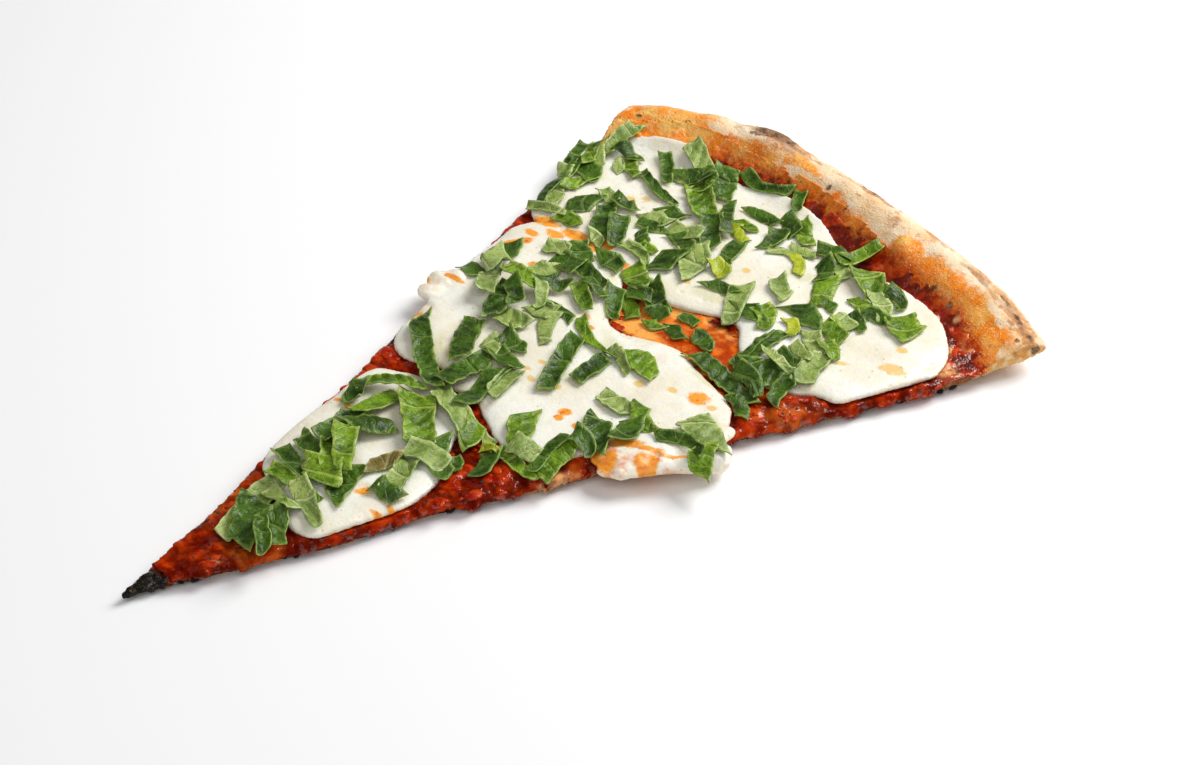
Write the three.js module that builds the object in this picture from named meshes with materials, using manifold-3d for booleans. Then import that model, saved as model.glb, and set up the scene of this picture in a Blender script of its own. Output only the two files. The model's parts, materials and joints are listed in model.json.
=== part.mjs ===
// A slice of thin-crust pizza. One wedge of dough has a raised, blistered rim along its arc and lies flat
// under the rest. A layer of tomato sauce covers it from the point to the foot of the rim and runs down
// over the right-hand cut. Melted mozzarella lies on the sauce in three pools, and the middle one has spilt
// over both cuts. Shreds of basil leaf lie on top in loose piles.
//
// Millimetres, +Z up. The slice is modelled with its point at x = 0, y = 0 and the middle of its rim on +Y.
// The group that is exported is then moved so that the middle of the underside of its bounding box is the
// origin.

import * as THREE from "three";
import Module from "manifold-3d";

// ------------------------------------------------------ driving dimensions

const DEGREE = Math.PI / 180;
const HALF_ANGLE = 19.3 * DEGREE; // from the middle of the slice to each cut
const TIP_RADIUS = 1.2; // where the blunt point begins
const DOUGH = 3.2; // thickness of the flat dough
const TIP_DOUGH = 1.9; // the dough thins out to this at the point
const TIP_LENGTH = 45; // over this length
const TIP_LIFT = 1.1; // the point curls up this much
const TIP_CURL = 28; // over this length
const CREST_INSET = 7; // from the outside of the rim in to its highest line
const RIM_SLOPE = 15; // from its highest line in to where the dough starts to rise
const RIM_LIFT = 4.6; // how far the underside of the rim stands off the table
const RIM_LIFT_WIDTH = 31; // over this width
const SAUCE = 1.0; // thickness of the sauce
const SAUCE_LUMP = 0.45; // height of the lumps in it, away from the cheese
const SAUCE_OVERHANG = 0.75; // thickness of the sauce on the right-hand cut
const CHEESE = 1.9; // thickness of the cheese pools
const CHEESE_EDGE = 0.75; // thickness at their very edge
const CHEESE_SHOULDER = 5; // the width over which the edge rounds up to full thickness
const LEAF = 0.45; // thickness of a basil leaf
const GAP = 0.32; // free space kept between neighbouring solids

// Along the rim, at equal steps from the left-hand cut to the right-hand one: the radius of its outside (an
// 18 inch pizza), the height of its crest, and the radius at which the sauce ends.
const OUTER_RADII = [221.5, 226, 228, 227.6, 226.6, 226.4, 227.6, 226.2];
const CREST_HEIGHTS = [11.4, 12.8, 13.9, 13.2, 13.0, 12.2, 11.0, 8.4];
const SAUCE_ENDS = [211, 217.6, 217, 217, 215, 212.5, 214, 210];

// How far each cut runs inside its straight line (outside, where it is below 0), every 15 mm from the
// point.
const LEFT_CUT = [0.2, 1.2, 1.9, 0.3, 0, 0.8, 0.9, 0, -0.4, -0.5, -0.8, -1, -1.1, -0.4, 0.9, 2.4];
const RIGHT_CUT = [0.6, 0.1, -0.6, -1.5, 0.5, 1.3, 0.6, 0.6, 0.2, 1.2, 0.7, 0.7, 0.8, 1.1, 0.6, 0];

// Blisters on the rim: x, y, width, height.
const BLISTERS = [
  [-29, 221, 9, 1.5],
  [8, 221, 7, 0.9],
  [25, 214, 7, 1.0],
  [40, 213, 8, 0.8],
  [-57, 213, 8, 0.9],
  [-8, 218, 7, 0.6],
];

// ------------------------------------------------------ small helpers

const mix = (a, b, t) => a + (b - a) * t;
const clamp = THREE.MathUtils.clamp;
const ease = (t) => {
  const c = clamp(t, 0, 1);
  return c * c * (3 - 2 * c);
};

// Smooth repeatable noise from -1 to 1, with bumps about `size` wide.
function lumps(x, y, size, seed) {
  const u = x / size;
  const v = y / size;
  const i = Math.floor(u);
  const j = Math.floor(v);
  const corner = (a, b) => {
    const n = Math.sin(a * 127.1 + b * 311.7 + seed * 74.7) * 43758.5453;
    return 2 * (n - Math.floor(n)) - 1;
  };
  const across = ease(u - i);
  const low = mix(corner(i, j), corner(i + 1, j), across);
  const high = mix(corner(i, j + 1), corner(i + 1, j + 1), across);
  return mix(low, high, ease(v - j));
}

// A smooth curve through equally spaced values, from share 0 to share 1.
function smoothly(values) {
  const curve = new THREE.SplineCurve(values.map((value, i) => new THREE.Vector2(i, value)));
  return (share) => curve.getPoint(clamp(share, 0, 1)).y;
}

// A geometry from points and triangles.
function geometryOf(points, faces) {
  const geometry = new THREE.BufferGeometry();
  const flat = points.flatMap((p) => [p.x, p.y, p.z]);
  geometry.setAttribute("position", new THREE.Float32BufferAttribute(flat, 3));
  geometry.setIndex(faces);
  geometry.computeVertexNormals();
  return geometry;
}

// The wall between an upper edge loop and the loop `under` vertices further on.
function closeWall(faces, edge, under) {
  edge.forEach((a, k) => {
    const b = edge[(k + 1) % edge.length];
    faces.push(a, a + under, b + under, a, b + under, b);
  });
}

// A closed solid with an upper and a lower skin on one grid. upper(i, j) and lower(i, j) give the points,
// with i running ahead and j to the right. Both skins are split into triangles alike.
function closedGrid(rows, columns, upper, lower) {
  const points = [];
  for (const skin of [upper, lower]) {
    for (let i = 0; i <= rows; i++) {
      for (let j = 0; j <= columns; j++) points.push(skin(i, j));
    }
  }
  const under = (rows + 1) * (columns + 1);
  const at = (i, j) => i * (columns + 1) + j;
  const faces = [];
  for (let i = 0; i < rows; i++) {
    for (let j = 0; j < columns; j++) {
      const [a, b, c, d] = [at(i, j), at(i, j + 1), at(i + 1, j + 1), at(i + 1, j)];
      faces.push(a, b, c, a, c, d);
      faces.push(a + under, c + under, b + under, a + under, d + under, c + under);
    }
  }
  const edge = [];
  for (let j = 0; j < columns; j++) edge.push(at(0, j));
  for (let i = 0; i < rows; i++) edge.push(at(i, columns));
  for (let j = columns; j > 0; j--) edge.push(at(rows, j));
  for (let i = rows; i > 0; i--) edge.push(at(i, 0));
  closeWall(faces, edge, under);
  return geometryOf(points, faces);
}

// ------------------------------------------------------ the footprint and the heights of the layers

const outerRadius = smoothly(OUTER_RADII);
const crestHeight = smoothly(CREST_HEIGHTS);
const sauceEnd = smoothly(SAUCE_ENDS);
const CUT_LENGTH = 15 * (LEFT_CUT.length - 1);
const leftCut = smoothly(LEFT_CUT);
const rightCut = smoothly(RIGHT_CUT);

// Share of the way across the slice, 0 at the left-hand cut and 1 at the right-hand one.
const shareAt = (x, y) => (Math.atan2(x, y) + HALF_ANGLE) / (2 * HALF_ANGLE);

// How far a cut runs inside its straight line, with small ragged lumps in it.
function cutInset(radius, side) {
  const cut = side < 0 ? leftCut : rightCut;
  return cut(radius / CUT_LENGTH) + 0.4 * lumps(radius, 40 * Math.sign(side), 9, 3);
}

// A point of the footprint. The insets, on the left and on the right, draw it in from the cuts, except at
// the point.
function footprint(radius, share, insets) {
  const side = 2 * share - 1;
  const inset = (cutInset(radius, side) + insets[side < 0 ? 0 : 1]) * ease(radius / 18);
  const angle = side * HALF_ANGLE - (side ** 3 * inset) / radius;
  return new THREE.Vector2(radius * Math.sin(angle), radius * Math.cos(angle));
}

// 1 up to the crest of the rim, and from there like a quarter of an ellipse down to 0 at its outside.
function rimRound(radius, share) {
  const past = Math.max(0, radius - outerRadius(share) + CREST_INSET) / CREST_INSET;
  return Math.sqrt(Math.max(0, 1 - past ** 2));
}

const tipLift = (radius) => TIP_LIFT * (1 - ease(radius / TIP_CURL));

// The height at which the rim's upper and lower surfaces meet.
const rimEdge = (share) => mix(RIM_LIFT, crestHeight(share), 0.42);

function doughUnder(x, y) {
  const radius = Math.hypot(x, y);
  const share = shareAt(x, y);
  const lift = RIM_LIFT * ease((radius - outerRadius(share) + RIM_LIFT_WIDTH) / RIM_LIFT_WIDTH);
  return tipLift(radius) + mix(rimEdge(share), lift, rimRound(radius, share));
}

function doughTop(x, y) {
  const radius = Math.hypot(x, y);
  const share = shareAt(x, y);
  const flat = tipLift(radius) + mix(TIP_DOUGH, DOUGH, ease(radius / TIP_LENGTH));
  const climb = 1 - ease((outerRadius(share) - CREST_INSET - radius) / RIM_SLOPE);
  let blister = 0;
  for (const [bx, by, width, height] of BLISTERS) {
    blister += height * Math.exp(-(((x - bx) ** 2 + (y - by) ** 2) * 4) / width ** 2);
  }
  return mix(rimEdge(share), mix(flat, crestHeight(share), climb) + blister, rimRound(radius, share));
}

// The sauce is lumpy only where it is bare, so that the pools lie evenly on it.
function sauceTop(x, y) {
  const bare = 1 - ease((coveredBy(x, y) + 3) / 3);
  return doughTop(x, y) + GAP + SAUCE + bare * SAUCE_LUMP * lumps(x, y, 7, 11);
}

// ------------------------------------------------------ the cheese pools

// Each pool's outline, anticlockwise from its lowest point, and the point its spokes run out from.
const POOLS = {
  cheese_tip: {
    centre: [-2, 66],
    outline: [
      [8, 37.5], [14, 38.8], [17.7, 43], [19.3, 48], [19, 54], [20, 61], [19.4, 68], [16.6, 75],
      [12.4, 79.6], [9, 84.6], [4.5, 90], [-1, 93.6], [-7, 95.2], [-14, 95], [-19.5, 93.8],
      [-22.3, 91.2], [-26, 90.2], [-26.8, 85.5], [-25.4, 79.5], [-23.6, 73.5], [-22.8, 67],
      [-21.4, 61], [-19.4, 55], [-17, 50], [-14, 46.6], [-9.5, 44], [-4.5, 43], [0, 41], [3.4, 38.8],
    ],
  },
  cheese_middle: {
    centre: [-4, 121],
    outline: [
      [4.5, 95.8], [10, 93.6], [16, 91.4], [22, 92.4], [28, 95.4], [31, 99.5], [31.8, 105.5],
      [33.6, 110.6], [38.4, 114], [42.4, 118], [44.4, 123.4], [46.4, 129], [46.4, 135.4],
      [41.6, 141.4], [34, 144], [27, 145.3], [20, 147.2], [14, 147.8], [8, 145.4], [3, 142.6],
      [-3.5, 141.6], [-7, 145.4], [-9, 151], [-15, 156.4], [-24, 159.4], [-34, 159.6], [-43, 158.4],
      [-50.5, 156.8], [-51.8, 150], [-49.4, 144], [-48.6, 137], [-46.6, 131], [-44.4, 124],
      [-41.4, 116], [-38, 108.6], [-35.8, 103], [-33, 98], [-28, 95.6], [-22, 96.4], [-16.6, 101.4],
      [-11.6, 97.8], [-6.8, 96], [-5, 99.4], [-1, 98.6],
    ],
  },
  cheese_rim: {
    centre: [13, 190],
    outline: [
      [2, 158.6], [9, 162.6], [14, 165.8], [19.4, 164], [23.4, 158.4], [28.6, 155.4], [36, 152.8],
      [43, 152.4], [47, 158], [53, 160.6], [60.4, 161.4], [61.4, 167.6], [64.4, 171], [64.8, 179],
      [63.4, 187], [60.6, 194], [54.6, 199.6], [48, 203.4], [40, 204.8], [31, 205], [21, 203.6],
      [14, 205.2], [7, 207.8], [0, 210.2], [-8, 210.8], [-16, 210.4], [-23, 208.2], [-29, 207],
      [-36, 207.2], [-42, 207.6], [-48, 206.6], [-54, 203.8], [-59, 200.4], [-63.4, 195.4],
      [-67.8, 189], [-65, 181], [-62, 172], [-58, 162], [-52.4, 158.4], [-44, 159.7], [-34, 160.9],
      [-24, 160.8], [-14.4, 159.0], [-6, 157],
    ],
  },
};
const SPOKES = 60; // points round each pool
const UPPER_RINGS = [0.3, 0.55, 0.74, 0.87, 0.95, 1]; // shares of the way out, on the pool's upper skin
const LOWER_RINGS = [0.5, 0.8, 0.92, 1];
const CUT_MARGIN = 0.4; // the pools stop this far inside a cut

// Moves a point that lies outside a cut back onto it.
function insideCuts(point) {
  const limit = (side) => point.y * Math.tan(HALF_ANGLE) - cutInset(point.length(), side) - CUT_MARGIN;
  return new THREE.Vector2(clamp(point.x, -limit(-1), limit(1)), point.y);
}

function smoothOutline(points, count) {
  const curve = new THREE.CatmullRomCurve3(points.map(([x, y]) => new THREE.Vector3(x, y, 0)), true);
  return curve.getSpacedPoints(count).slice(0, count).map((p) => insideCuts(new THREE.Vector2(p.x, p.y)));
}

for (const pool of Object.values(POOLS)) pool.edge = smoothOutline(pool.outline, SPOKES);

// Distance from a point to an outline, positive inside it.
function depthInside(x, y, edge) {
  let nearest = Infinity;
  let inside = false;
  edge.forEach((a, k) => {
    const b = edge[(k + 1) % edge.length];
    const along = ((x - a.x) * (b.x - a.x) + (y - a.y) * (b.y - a.y)) / ((b.x - a.x) ** 2 + (b.y - a.y) ** 2);
    const t = clamp(along, 0, 1);
    nearest = Math.min(nearest, Math.hypot(x - mix(a.x, b.x, t), y - mix(a.y, b.y, t)));
    if (a.y > y !== b.y > y && x < a.x + ((b.x - a.x) * (y - a.y)) / (b.y - a.y)) inside = !inside;
  });
  return inside ? nearest : -nearest;
}

// How deep inside the nearest pool a point lies, negative outside them all.
function coveredBy(x, y) {
  return Math.max(...Object.values(POOLS).map((pool) => depthInside(x, y, pool.edge)));
}

// The pools lie this high. Where the sauce climbs to the rim they keep a little more space.
function poolUnder(p) {
  const climbing = ease((p.length() - outerRadius(shareAt(p.x, p.y)) + CREST_INSET + RIM_SLOPE + 2) / 3);
  return sauceTop(p.x, p.y) + GAP + 0.3 * climbing;
}

function poolGeometry(pool) {
  const centre = new THREE.Vector2(...pool.centre);
  const lowerHeight = poolUnder;
  const upperHeight = (p) => {
    const shoulder = clamp(depthInside(p.x, p.y, pool.edge) / CHEESE_SHOULDER, 0, 1);
    const swell = 0.3 * lumps(p.x, p.y, 21, 17) * shoulder;
    return lowerHeight(p) + mix(CHEESE_EDGE, CHEESE, 1 - (1 - shoulder) ** 2) + swell;
  };
  const points = [];
  const faces = [];
  const skin = (rings, height, facingUp) => {
    const middle = points.length;
    points.push(new THREE.Vector3(centre.x, centre.y, height(centre)));
    for (const ring of rings) {
      for (const edgePoint of pool.edge) {
        const p = centre.clone().lerp(edgePoint, ring);
        points.push(new THREE.Vector3(p.x, p.y, height(p)));
      }
    }
    const at = (ring, k) => middle + 1 + ring * SPOKES + (k % SPOKES);
    const face = (a, b, c) => faces.push(...(facingUp ? [a, b, c] : [a, c, b]));
    for (let k = 0; k < SPOKES; k++) {
      face(middle, at(0, k), at(0, k + 1));
      for (let ring = 1; ring < rings.length; ring++) {
        face(at(ring - 1, k), at(ring, k), at(ring, k + 1));
        face(at(ring - 1, k), at(ring, k + 1), at(ring - 1, k + 1));
      }
    }
    return at(rings.length - 1, 0);
  };
  const upperEdge = skin(UPPER_RINGS, upperHeight, true);
  const lowerEdge = skin(LOWER_RINGS, lowerHeight, false);
  closeWall(faces, Array.from({ length: SPOKES }, (_, k) => upperEdge + k), lowerEdge - upperEdge);
  return geometryOf(points, faces);
}

// ------------------------------------------------------ the dough and the sauce

const COLUMNS = 22; // across the slice
const FLAT_RADII = [8, 16, 26, 37, 49, 62, 76, 90, 104, 118, 132, 146, 160, 174, 187, 199];
const SLOPE_ROWS = 6; // from the last flat radius to the end of the sauce
const CREST_ROWS = 2; // from there to the crest
const ROUND_STEPS = [20, 38, 54, 68, 80]; // degrees round the outside of the rim
const CRUST_INSETS = [0, SAUCE_OVERHANG + GAP]; // on the right the sauce hangs outside the dough
const SAUCE_INSETS = [0.25, SAUCE_OVERHANG];
const LAST_FLAT = FLAT_RADII[FLAT_RADII.length - 1];

// The radii of the grid's rows, at one share of the way across. One row runs along the end of the sauce.
function rowRadii(share) {
  const end = sauceEnd(share);
  const outer = outerRadius(share);
  const slope = Array.from({ length: SLOPE_ROWS }, (_, k) => mix(LAST_FLAT, end, (k + 1) / SLOPE_ROWS));
  const crest = outer - CREST_INSET;
  const climb = Array.from({ length: CREST_ROWS }, (_, k) => mix(end, crest, (k + 1) / CREST_ROWS));
  const round = ROUND_STEPS.map((step) => outer - CREST_INSET * (1 - Math.sin(step * DEGREE)));
  return [...FLAT_RADII, ...slope, ...climb, ...round];
}

function doughGeometry() {
  const rows = FLAT_RADII.length + SLOPE_ROWS + CREST_ROWS + ROUND_STEPS.length;
  const skin = (height) => (i, j) => {
    const share = j / COLUMNS;
    const p = footprint([TIP_RADIUS, ...rowRadii(share)][i], share, CRUST_INSETS);
    return new THREE.Vector3(p.x, p.y, height(p.x, p.y));
  };
  return closedGrid(rows, COLUMNS, skin(doughTop), skin(doughUnder));
}

// How far down the right-hand cut the sauce has run: nearly to the table, but not at the point or under the
// rim.
function sauceHem(radius, top) {
  const low = 1.5 + 0.9 * lumps(radius, 3, 6, 23);
  const away = Math.max(1 - ease((radius - 14) / 12), ease((radius - 194) / 9));
  return mix(low, top - SAUCE, away);
}

function sauceGeometry() {
  const rows = FLAT_RADII.length - 1 + SLOPE_ROWS;
  const place = (i, j, insets) => {
    const share = Math.min(j / COLUMNS, 1);
    return footprint(rowRadii(share)[i], share, insets);
  };
  const upper = (i, j) => {
    const p = place(i, j, SAUCE_INSETS);
    const thin = i === rows || i === 0 ? 0.45 * SAUCE : 0;
    const top = sauceTop(p.x, p.y) - thin;
    if (j < COLUMNS) return new THREE.Vector3(p.x, p.y, top);
    const outside = place(i, j, [0, j === COLUMNS ? 0.15 : 0]);
    const height = j === COLUMNS ? top - 0.35 : sauceHem(p.length(), top) + 0.1;
    return new THREE.Vector3(outside.x, outside.y, height);
  };
  const lower = (i, j) => {
    const inner = place(i, j, SAUCE_INSETS);
    const bed = doughTop(inner.x, inner.y) + GAP;
    if (j <= COLUMNS) return new THREE.Vector3(inner.x, inner.y, bed);
    return new THREE.Vector3(inner.x, inner.y, Math.min(sauceHem(inner.length(), bed + SAUCE), bed - 0.05));
  };
  return closedGrid(rows, COLUMNS + 1, upper, lower);
}

// ------------------------------------------------------ the cheese that has spilt over the cuts

// Rounded masses, each x, y, z, radius in x, y and z, and its turn about Z in degrees. The first six run
// from the middle pool over the right-hand cut, and the last of them hangs beside the crust, clear of the
// table. The others are curds at the left-hand cut.
const SPILL_MASSES = [
  [38.6, 109.4, 4.9, 8.8, 6.2, 2.5, 40],
  [42.4, 116.4, 5.1, 6.6, 7.6, 2.3, -20],
  [44.4, 125.8, 6.0, 3.8, 6.8, 1.7, -18],
  [46.6, 132.2, 5.8, 3.0, 4.4, 1.5, -18],
  [47.6, 121.6, 4.8, 5.6, 6.8, 2.6, -15],
  [50.6, 126.4, 4.1, 5.0, 5.4, 3.2, 10],
  [-42.4, 117.4, 5.8, 3.6, 3.0, 1.6, 0],
  [-44.6, 122.4, 5.8, 3.8, 3.2, 1.7, 0],
  [-42.6, 126, 6.2, 3.6, 2.8, 1.5, 0],
];
const SPILL_SIDES = 10;
const SPILL_RELIEF = 0.07; // of the radius
const BED_TOP = DOUGH + GAP + SAUCE + SAUCE_LUMP + GAP;

// A closed solid of a geometry, for joining and cutting.
function solidOf(wasm, geometry) {
  const position = geometry.getAttribute("position");
  const keys = new Map();
  const merged = [];
  const vertex = Array.from({ length: position.count }, (_, i) => {
    const point = [position.getX(i), position.getY(i), position.getZ(i)];
    const key = point.map((v) => v.toFixed(4)).join();
    if (!keys.has(key)) keys.set(key, merged.push(...point) / 3 - 1);
    return keys.get(key);
  });
  const corners = Array.from(geometry.index ? geometry.index.array : vertex.keys(), (i) => vertex[i]);
  const triangles = [];
  for (let i = 0; i < corners.length; i += 3) {
    const [a, b, c] = corners.slice(i, i + 3);
    if (a !== b && b !== c && c !== a) triangles.push(a, b, c);
  }
  return new wasm.Manifold(
    new wasm.Mesh({
      numProp: 3,
      vertProperties: new Float32Array(merged),
      triVerts: new Uint32Array(triangles),
    }),
  );
}

function geometryOfSolid(solid) {
  const mesh = solid.getMesh();
  const geometry = new THREE.BufferGeometry();
  geometry.setAttribute("position", new THREE.BufferAttribute(mesh.vertProperties, 3));
  geometry.setIndex(new THREE.BufferAttribute(mesh.triVerts, 1));
  geometry.computeVertexNormals();
  return geometry;
}

// The room that the dough and its sauce take up, as a wedge a little wider than both.
function wedgeGeometry(clearance) {
  const length = 250;
  const back = clearance / Math.sin(HALF_ANGLE);
  const shape = new THREE.Shape([
    new THREE.Vector2(0, -back),
    new THREE.Vector2(length * Math.tan(HALF_ANGLE), length - back),
    new THREE.Vector2(-length * Math.tan(HALF_ANGLE), length - back),
  ]);
  const depth = BED_TOP + 5;
  return new THREE.ExtrudeGeometry(shape, { depth, bevelEnabled: false }).translate(0, 0, -5);
}

function spillMass([x, y, z, rx, ry, rz, turn]) {
  const ball = new THREE.SphereGeometry(1, SPILL_SIDES, SPILL_SIDES / 2);
  ball.deleteAttribute("normal");
  ball.deleteAttribute("uv");
  ball.scale(rx, ry, rz).rotateZ(turn * DEGREE);
  const position = ball.getAttribute("position");
  for (let i = 0; i < position.count; i++) {
    const p = new THREE.Vector3().fromBufferAttribute(position, i);
    const swollen = 1 + SPILL_RELIEF * lumps(p.x + x, p.y + y + p.z, 3.1, 47);
    position.setXYZ(i, p.x * swollen, p.y * swollen, p.z * swollen);
  }
  return ball.translate(x, y, z);
}

// The middle pool, joined with the masses, clear of the dough and the sauce.
function middlePoolGeometry(wasm) {
  const masses = SPILL_MASSES.map((mass) => solidOf(wasm, spillMass(mass)));
  const spilt = masses.reduce((whole, mass) => whole.add(mass)).subtract(solidOf(wasm, wedgeGeometry(0.9)));
  return geometryOfSolid(solidOf(wasm, poolGeometry(POOLS.cheese_middle)).add(spilt));
}

// ------------------------------------------------------ the heights of what already lies on the slice

const CELL = 0.5; // size of a cell of the height map
const MARGIN = 0.35; // a triangle also claims the cells this far outside it
const MAP_WIDTH = 180;
const MAP_LENGTH = 240;
const MAP_LEFT = -MAP_WIDTH / 2;
const MAP_BOTTOM = -5;
const MAP_COLUMNS = MAP_WIDTH / CELL;
const MAP_ROWS = MAP_LENGTH / CELL;
const columnOf = (x) => clamp(Math.floor((x - MAP_LEFT) / CELL), 0, MAP_COLUMNS - 1);
const rowOf = (y) => clamp(Math.floor((y - MAP_BOTTOM) / CELL), 0, MAP_ROWS - 1);

// Calls visit(cell, shares) for each cell that a triangle covers seen from above, with the corners' shares
// in it.
function eachCell(corners, visit) {
  const flat = corners.map((p) => new THREE.Vector3(p.x, p.y, 0));
  const triangle = new THREE.Triangle(...flat);
  const area = triangle.getArea();
  if (area < 1e-4) return;
  const reaches = flat.map((_, k) => (MARGIN * flat[(k + 1) % 3].distanceTo(flat[(k + 2) % 3])) / (2 * area));
  const box = new THREE.Box3().setFromPoints(flat).expandByScalar(MARGIN);
  const shares = new THREE.Vector3();
  for (let row = rowOf(box.min.y); row <= rowOf(box.max.y); row++) {
    for (let column = columnOf(box.min.x); column <= columnOf(box.max.x); column++) {
      const middle = new THREE.Vector3(MAP_LEFT + (column + 0.5) * CELL, MAP_BOTTOM + (row + 0.5) * CELL, 0);
      triangle.getBarycoord(middle, shares);
      if (shares.toArray().some((share, k) => share < -reaches[k])) continue;
      const kept = shares.toArray().map((share) => Math.max(share, 0));
      const sum = kept[0] + kept[1] + kept[2];
      visit(row * MAP_COLUMNS + column, kept.map((share) => share / sum));
    }
  }
}

// Raises the map to the upper surface of a geometry.
function paint(heights, geometry) {
  const position = geometry.getAttribute("position");
  const corner = (k) => new THREE.Vector3().fromBufferAttribute(position, geometry.index.getX(k));
  for (let k = 0; k < geometry.index.count; k += 3) {
    const corners = [corner(k), corner(k + 1), corner(k + 2)];
    eachCell(corners, (cell, shares) => {
      const height = corners.reduce((sum, p, c) => sum + p.z * shares[c], 0);
      heights[cell] = Math.max(heights[cell], height);
    });
  }
}

// ------------------------------------------------------ the basil

// The shreds, those that lie lowest first: tone, x and y of the middle, heading in degrees anticlockwise
// from +X, length, width, bend from end to end in degrees, how far the far end narrows (0 to 1), how far
// the long edges turn up (or, below 0, how far the middle stands up), and how far the right-hand edge alone
// turns up.
const SHREDS = [
  // at the point
  ["pale", -2.6, 35, -74, 21, 5.4, 24, 0.3, 0.4, 2.8],
  ["bright", 1.6, 32, -52, 14, 7.6, 0, 0.2, 1.0, 0],
  ["dark", 7.4, 34.4, -35, 10.5, 7.6, 0, 0.2, 1.4, 0],
  ["pale", 6, 33.6, -30, 9.5, 3.2, 0, 0.1, 0.6, 0],
  ["pale", -1, 46.6, 6, 15, 4.2, -20, 0.2, 0.8, 0],
  // on the pool nearest the point
  ["pale", -8, 51.6, -12, 14, 4.6, 0, 0.5, 0.6, 0],
  ["dark", -10, 57.6, -8, 11, 4.6, 0, 0.1, 0.5, 0],
  ["bright", 4.5, 56, -58, 13, 7.4, 0, 0.3, 0.8, 0],
  ["bright", -3.6, 60, -40, 14, 7, 0, 0.2, 0.5, 0],
  ["dark", -12, 67.5, -73, 15, 6, 0, 0, 0.4, 0],
  ["dark", -7, 72.6, 60, 11, 7, 0, 0.2, -0.4, 0],
  ["bright", -13, 79, -87, 12, 5, 0, 0, 0.5, 0],
  ["pale", 11, 67, -58, 12.5, 5.2, 0, 0, 0.4, 0],
  ["bright", -2, 82.6, -36, 19, 8, 0, 0.1, 0.6, 0],
  ["bright", -17, 86, 36, 16, 4.4, -40, 0.2, 0.7, 0],
  ["pale", 0, 91.5, -13, 18, 6, 0, 0, 0.5, 0],
  ["pale", -22, 100, -32, 31, 4.8, 8, 0, 0.4, 0],
  ["bright", 24, 90, -2, 13.5, 4.4, 12, 0.7, 0.7, 0],
  ["pale", 16, 98, -52, 14, 7, 10, 0.5, -0.4, 0],
  // on the middle pool
  ["dark", -10, 103, -86, 16, 5.6, 0, 0, 0.4, 0],
  ["pale", -1, 107, -76, 11, 4.4, 8, 0.1, 0.6, 0],
  ["dark", -20, 111, -50, 18, 5.6, 8, 0.1, 0.4, 0],
  ["dark", 2, 122, -60, 22, 5, 8, 0.1, 0.5, 0],
  ["dark", 8.5, 126, -82, 12, 4.2, 0, 0, 0.4, 0],
  ["pale", -19, 124, 10, 10, 6.6, 0, 0.1, 2.0, 0],
  ["dark", -27, 128, -56, 16, 5.4, 0, 0, 0.4, 0],
  ["pale", -34, 129, -45, 13, 6, 0, 0.1, 0.5, 0],
  ["bright", -29, 136, 14, 11, 6, 0, 0.2, 0.6, 0],
  ["bright", 15, 136.6, -14, 12, 6.6, 0, 0.4, 0.6, 0],
  ["pale", 22.5, 121.5, 0, 10.5, 5, 0, 0, 0.6, 0],
  ["dark", 28, 111, -50, 11, 7, 0, 0.1, 0.8, 0],
  ["bright", 29, 98.5, -75, 14, 5, 0, 0.1, 0.6, 0],
  ["pale", 44, 129.5, -20, 12.5, 8.6, 0, 0.3, -0.8, 0],
  ["bright", 52.6, 120.8, -50, 9, 6.6, 0, 0.2, 1.0, 0],
  // across the middle of the slice
  ["dark", 30, 148, -10, 23, 6.2, -6, 0.2, 0.5, 0],
  ["dark", 27.5, 162, -87, 18, 4.4, 0, 0, 0.4, 0],
  ["dark", 36, 156.6, -20, 10, 8, 0, 0.1, 0.6, 0],
  ["pale", 42, 166, -70, 14, 5.2, 10, 0, 0.5, 0],
  ["dark", -30.5, 155.5, -25, 10, 6.4, 0, 0.2, 0.5, 0],
  ["dark", -21, 150.4, -10, 10.5, 5, 0, 0, 0.4, 0],
  ["dark", -4, 157, -30, 11, 5.2, 0, 0.1, 0.5, 0],
  ["bright", -15, 143.2, -30, 11, 4.4, 0, 0.2, 0.6, 0],
  ["dark", -38, 170, -50, 15, 5.4, 0, 0, 0.5, 0],
  // on the pool nearest the rim
  ["pale", -54.5, 168, -50, 12, 4.6, -10, 0.3, 0.6, 0],
  ["dark", -67, 186, -62, 13, 4, 0, 0.1, 0.4, 0],
  ["pale", -63.4, 198, -85, 12.5, 4, 0, 0, 0.5, 0],
  ["dark", -40, 189.6, -15, 17, 2.8, 6, 0.1, 0.3, 0],
  ["pale", -43.5, 208, -15, 11.5, 5.6, 0, 0.2, 0.6, 0],
  ["dark", -29, 203.5, -50, 12.5, 6.4, 0, 0.1, 0.6, 0],
  ["bright", -26, 193, -35, 12.5, 7, 0, 0.1, 0.6, 0],
  ["dark", -15.4, 186, -45, 15, 5.6, 8, 0.1, 0.5, 0],
  ["pale", -9, 174.5, -40, 12, 8.4, 0, 0.2, 0.6, 0],
  ["bright", 0.6, 203.5, -30, 11, 5.4, 0, 0.3, 0.7, 0],
  ["pale", 16, 200, -20, 11, 4.6, 0, 0.1, 0.6, 0],
  ["bright", 28, 200, -30, 11.5, 7.6, 0, 0.2, 0.7, 0],
];
const SLIDE = [1, -0.88]; // the higher a shred lies, the further it has slid, per millimetre above SLIDE_FROM
const SLIDE_FROM = 6;
const SHRED_COLUMNS = 3;
const SHRED_STEP = 3.3; // length of one row of a shred
const OVERHANG_FLOOR = 3.2; // a shred that reaches past a cut sags no lower than this
const SETTLING_STEPS = 40;
const SAG = 0.18; // how far a leaf sags below a straight line from row to row
const DROOP = 1.1; // how far one row may hang below the next

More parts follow.
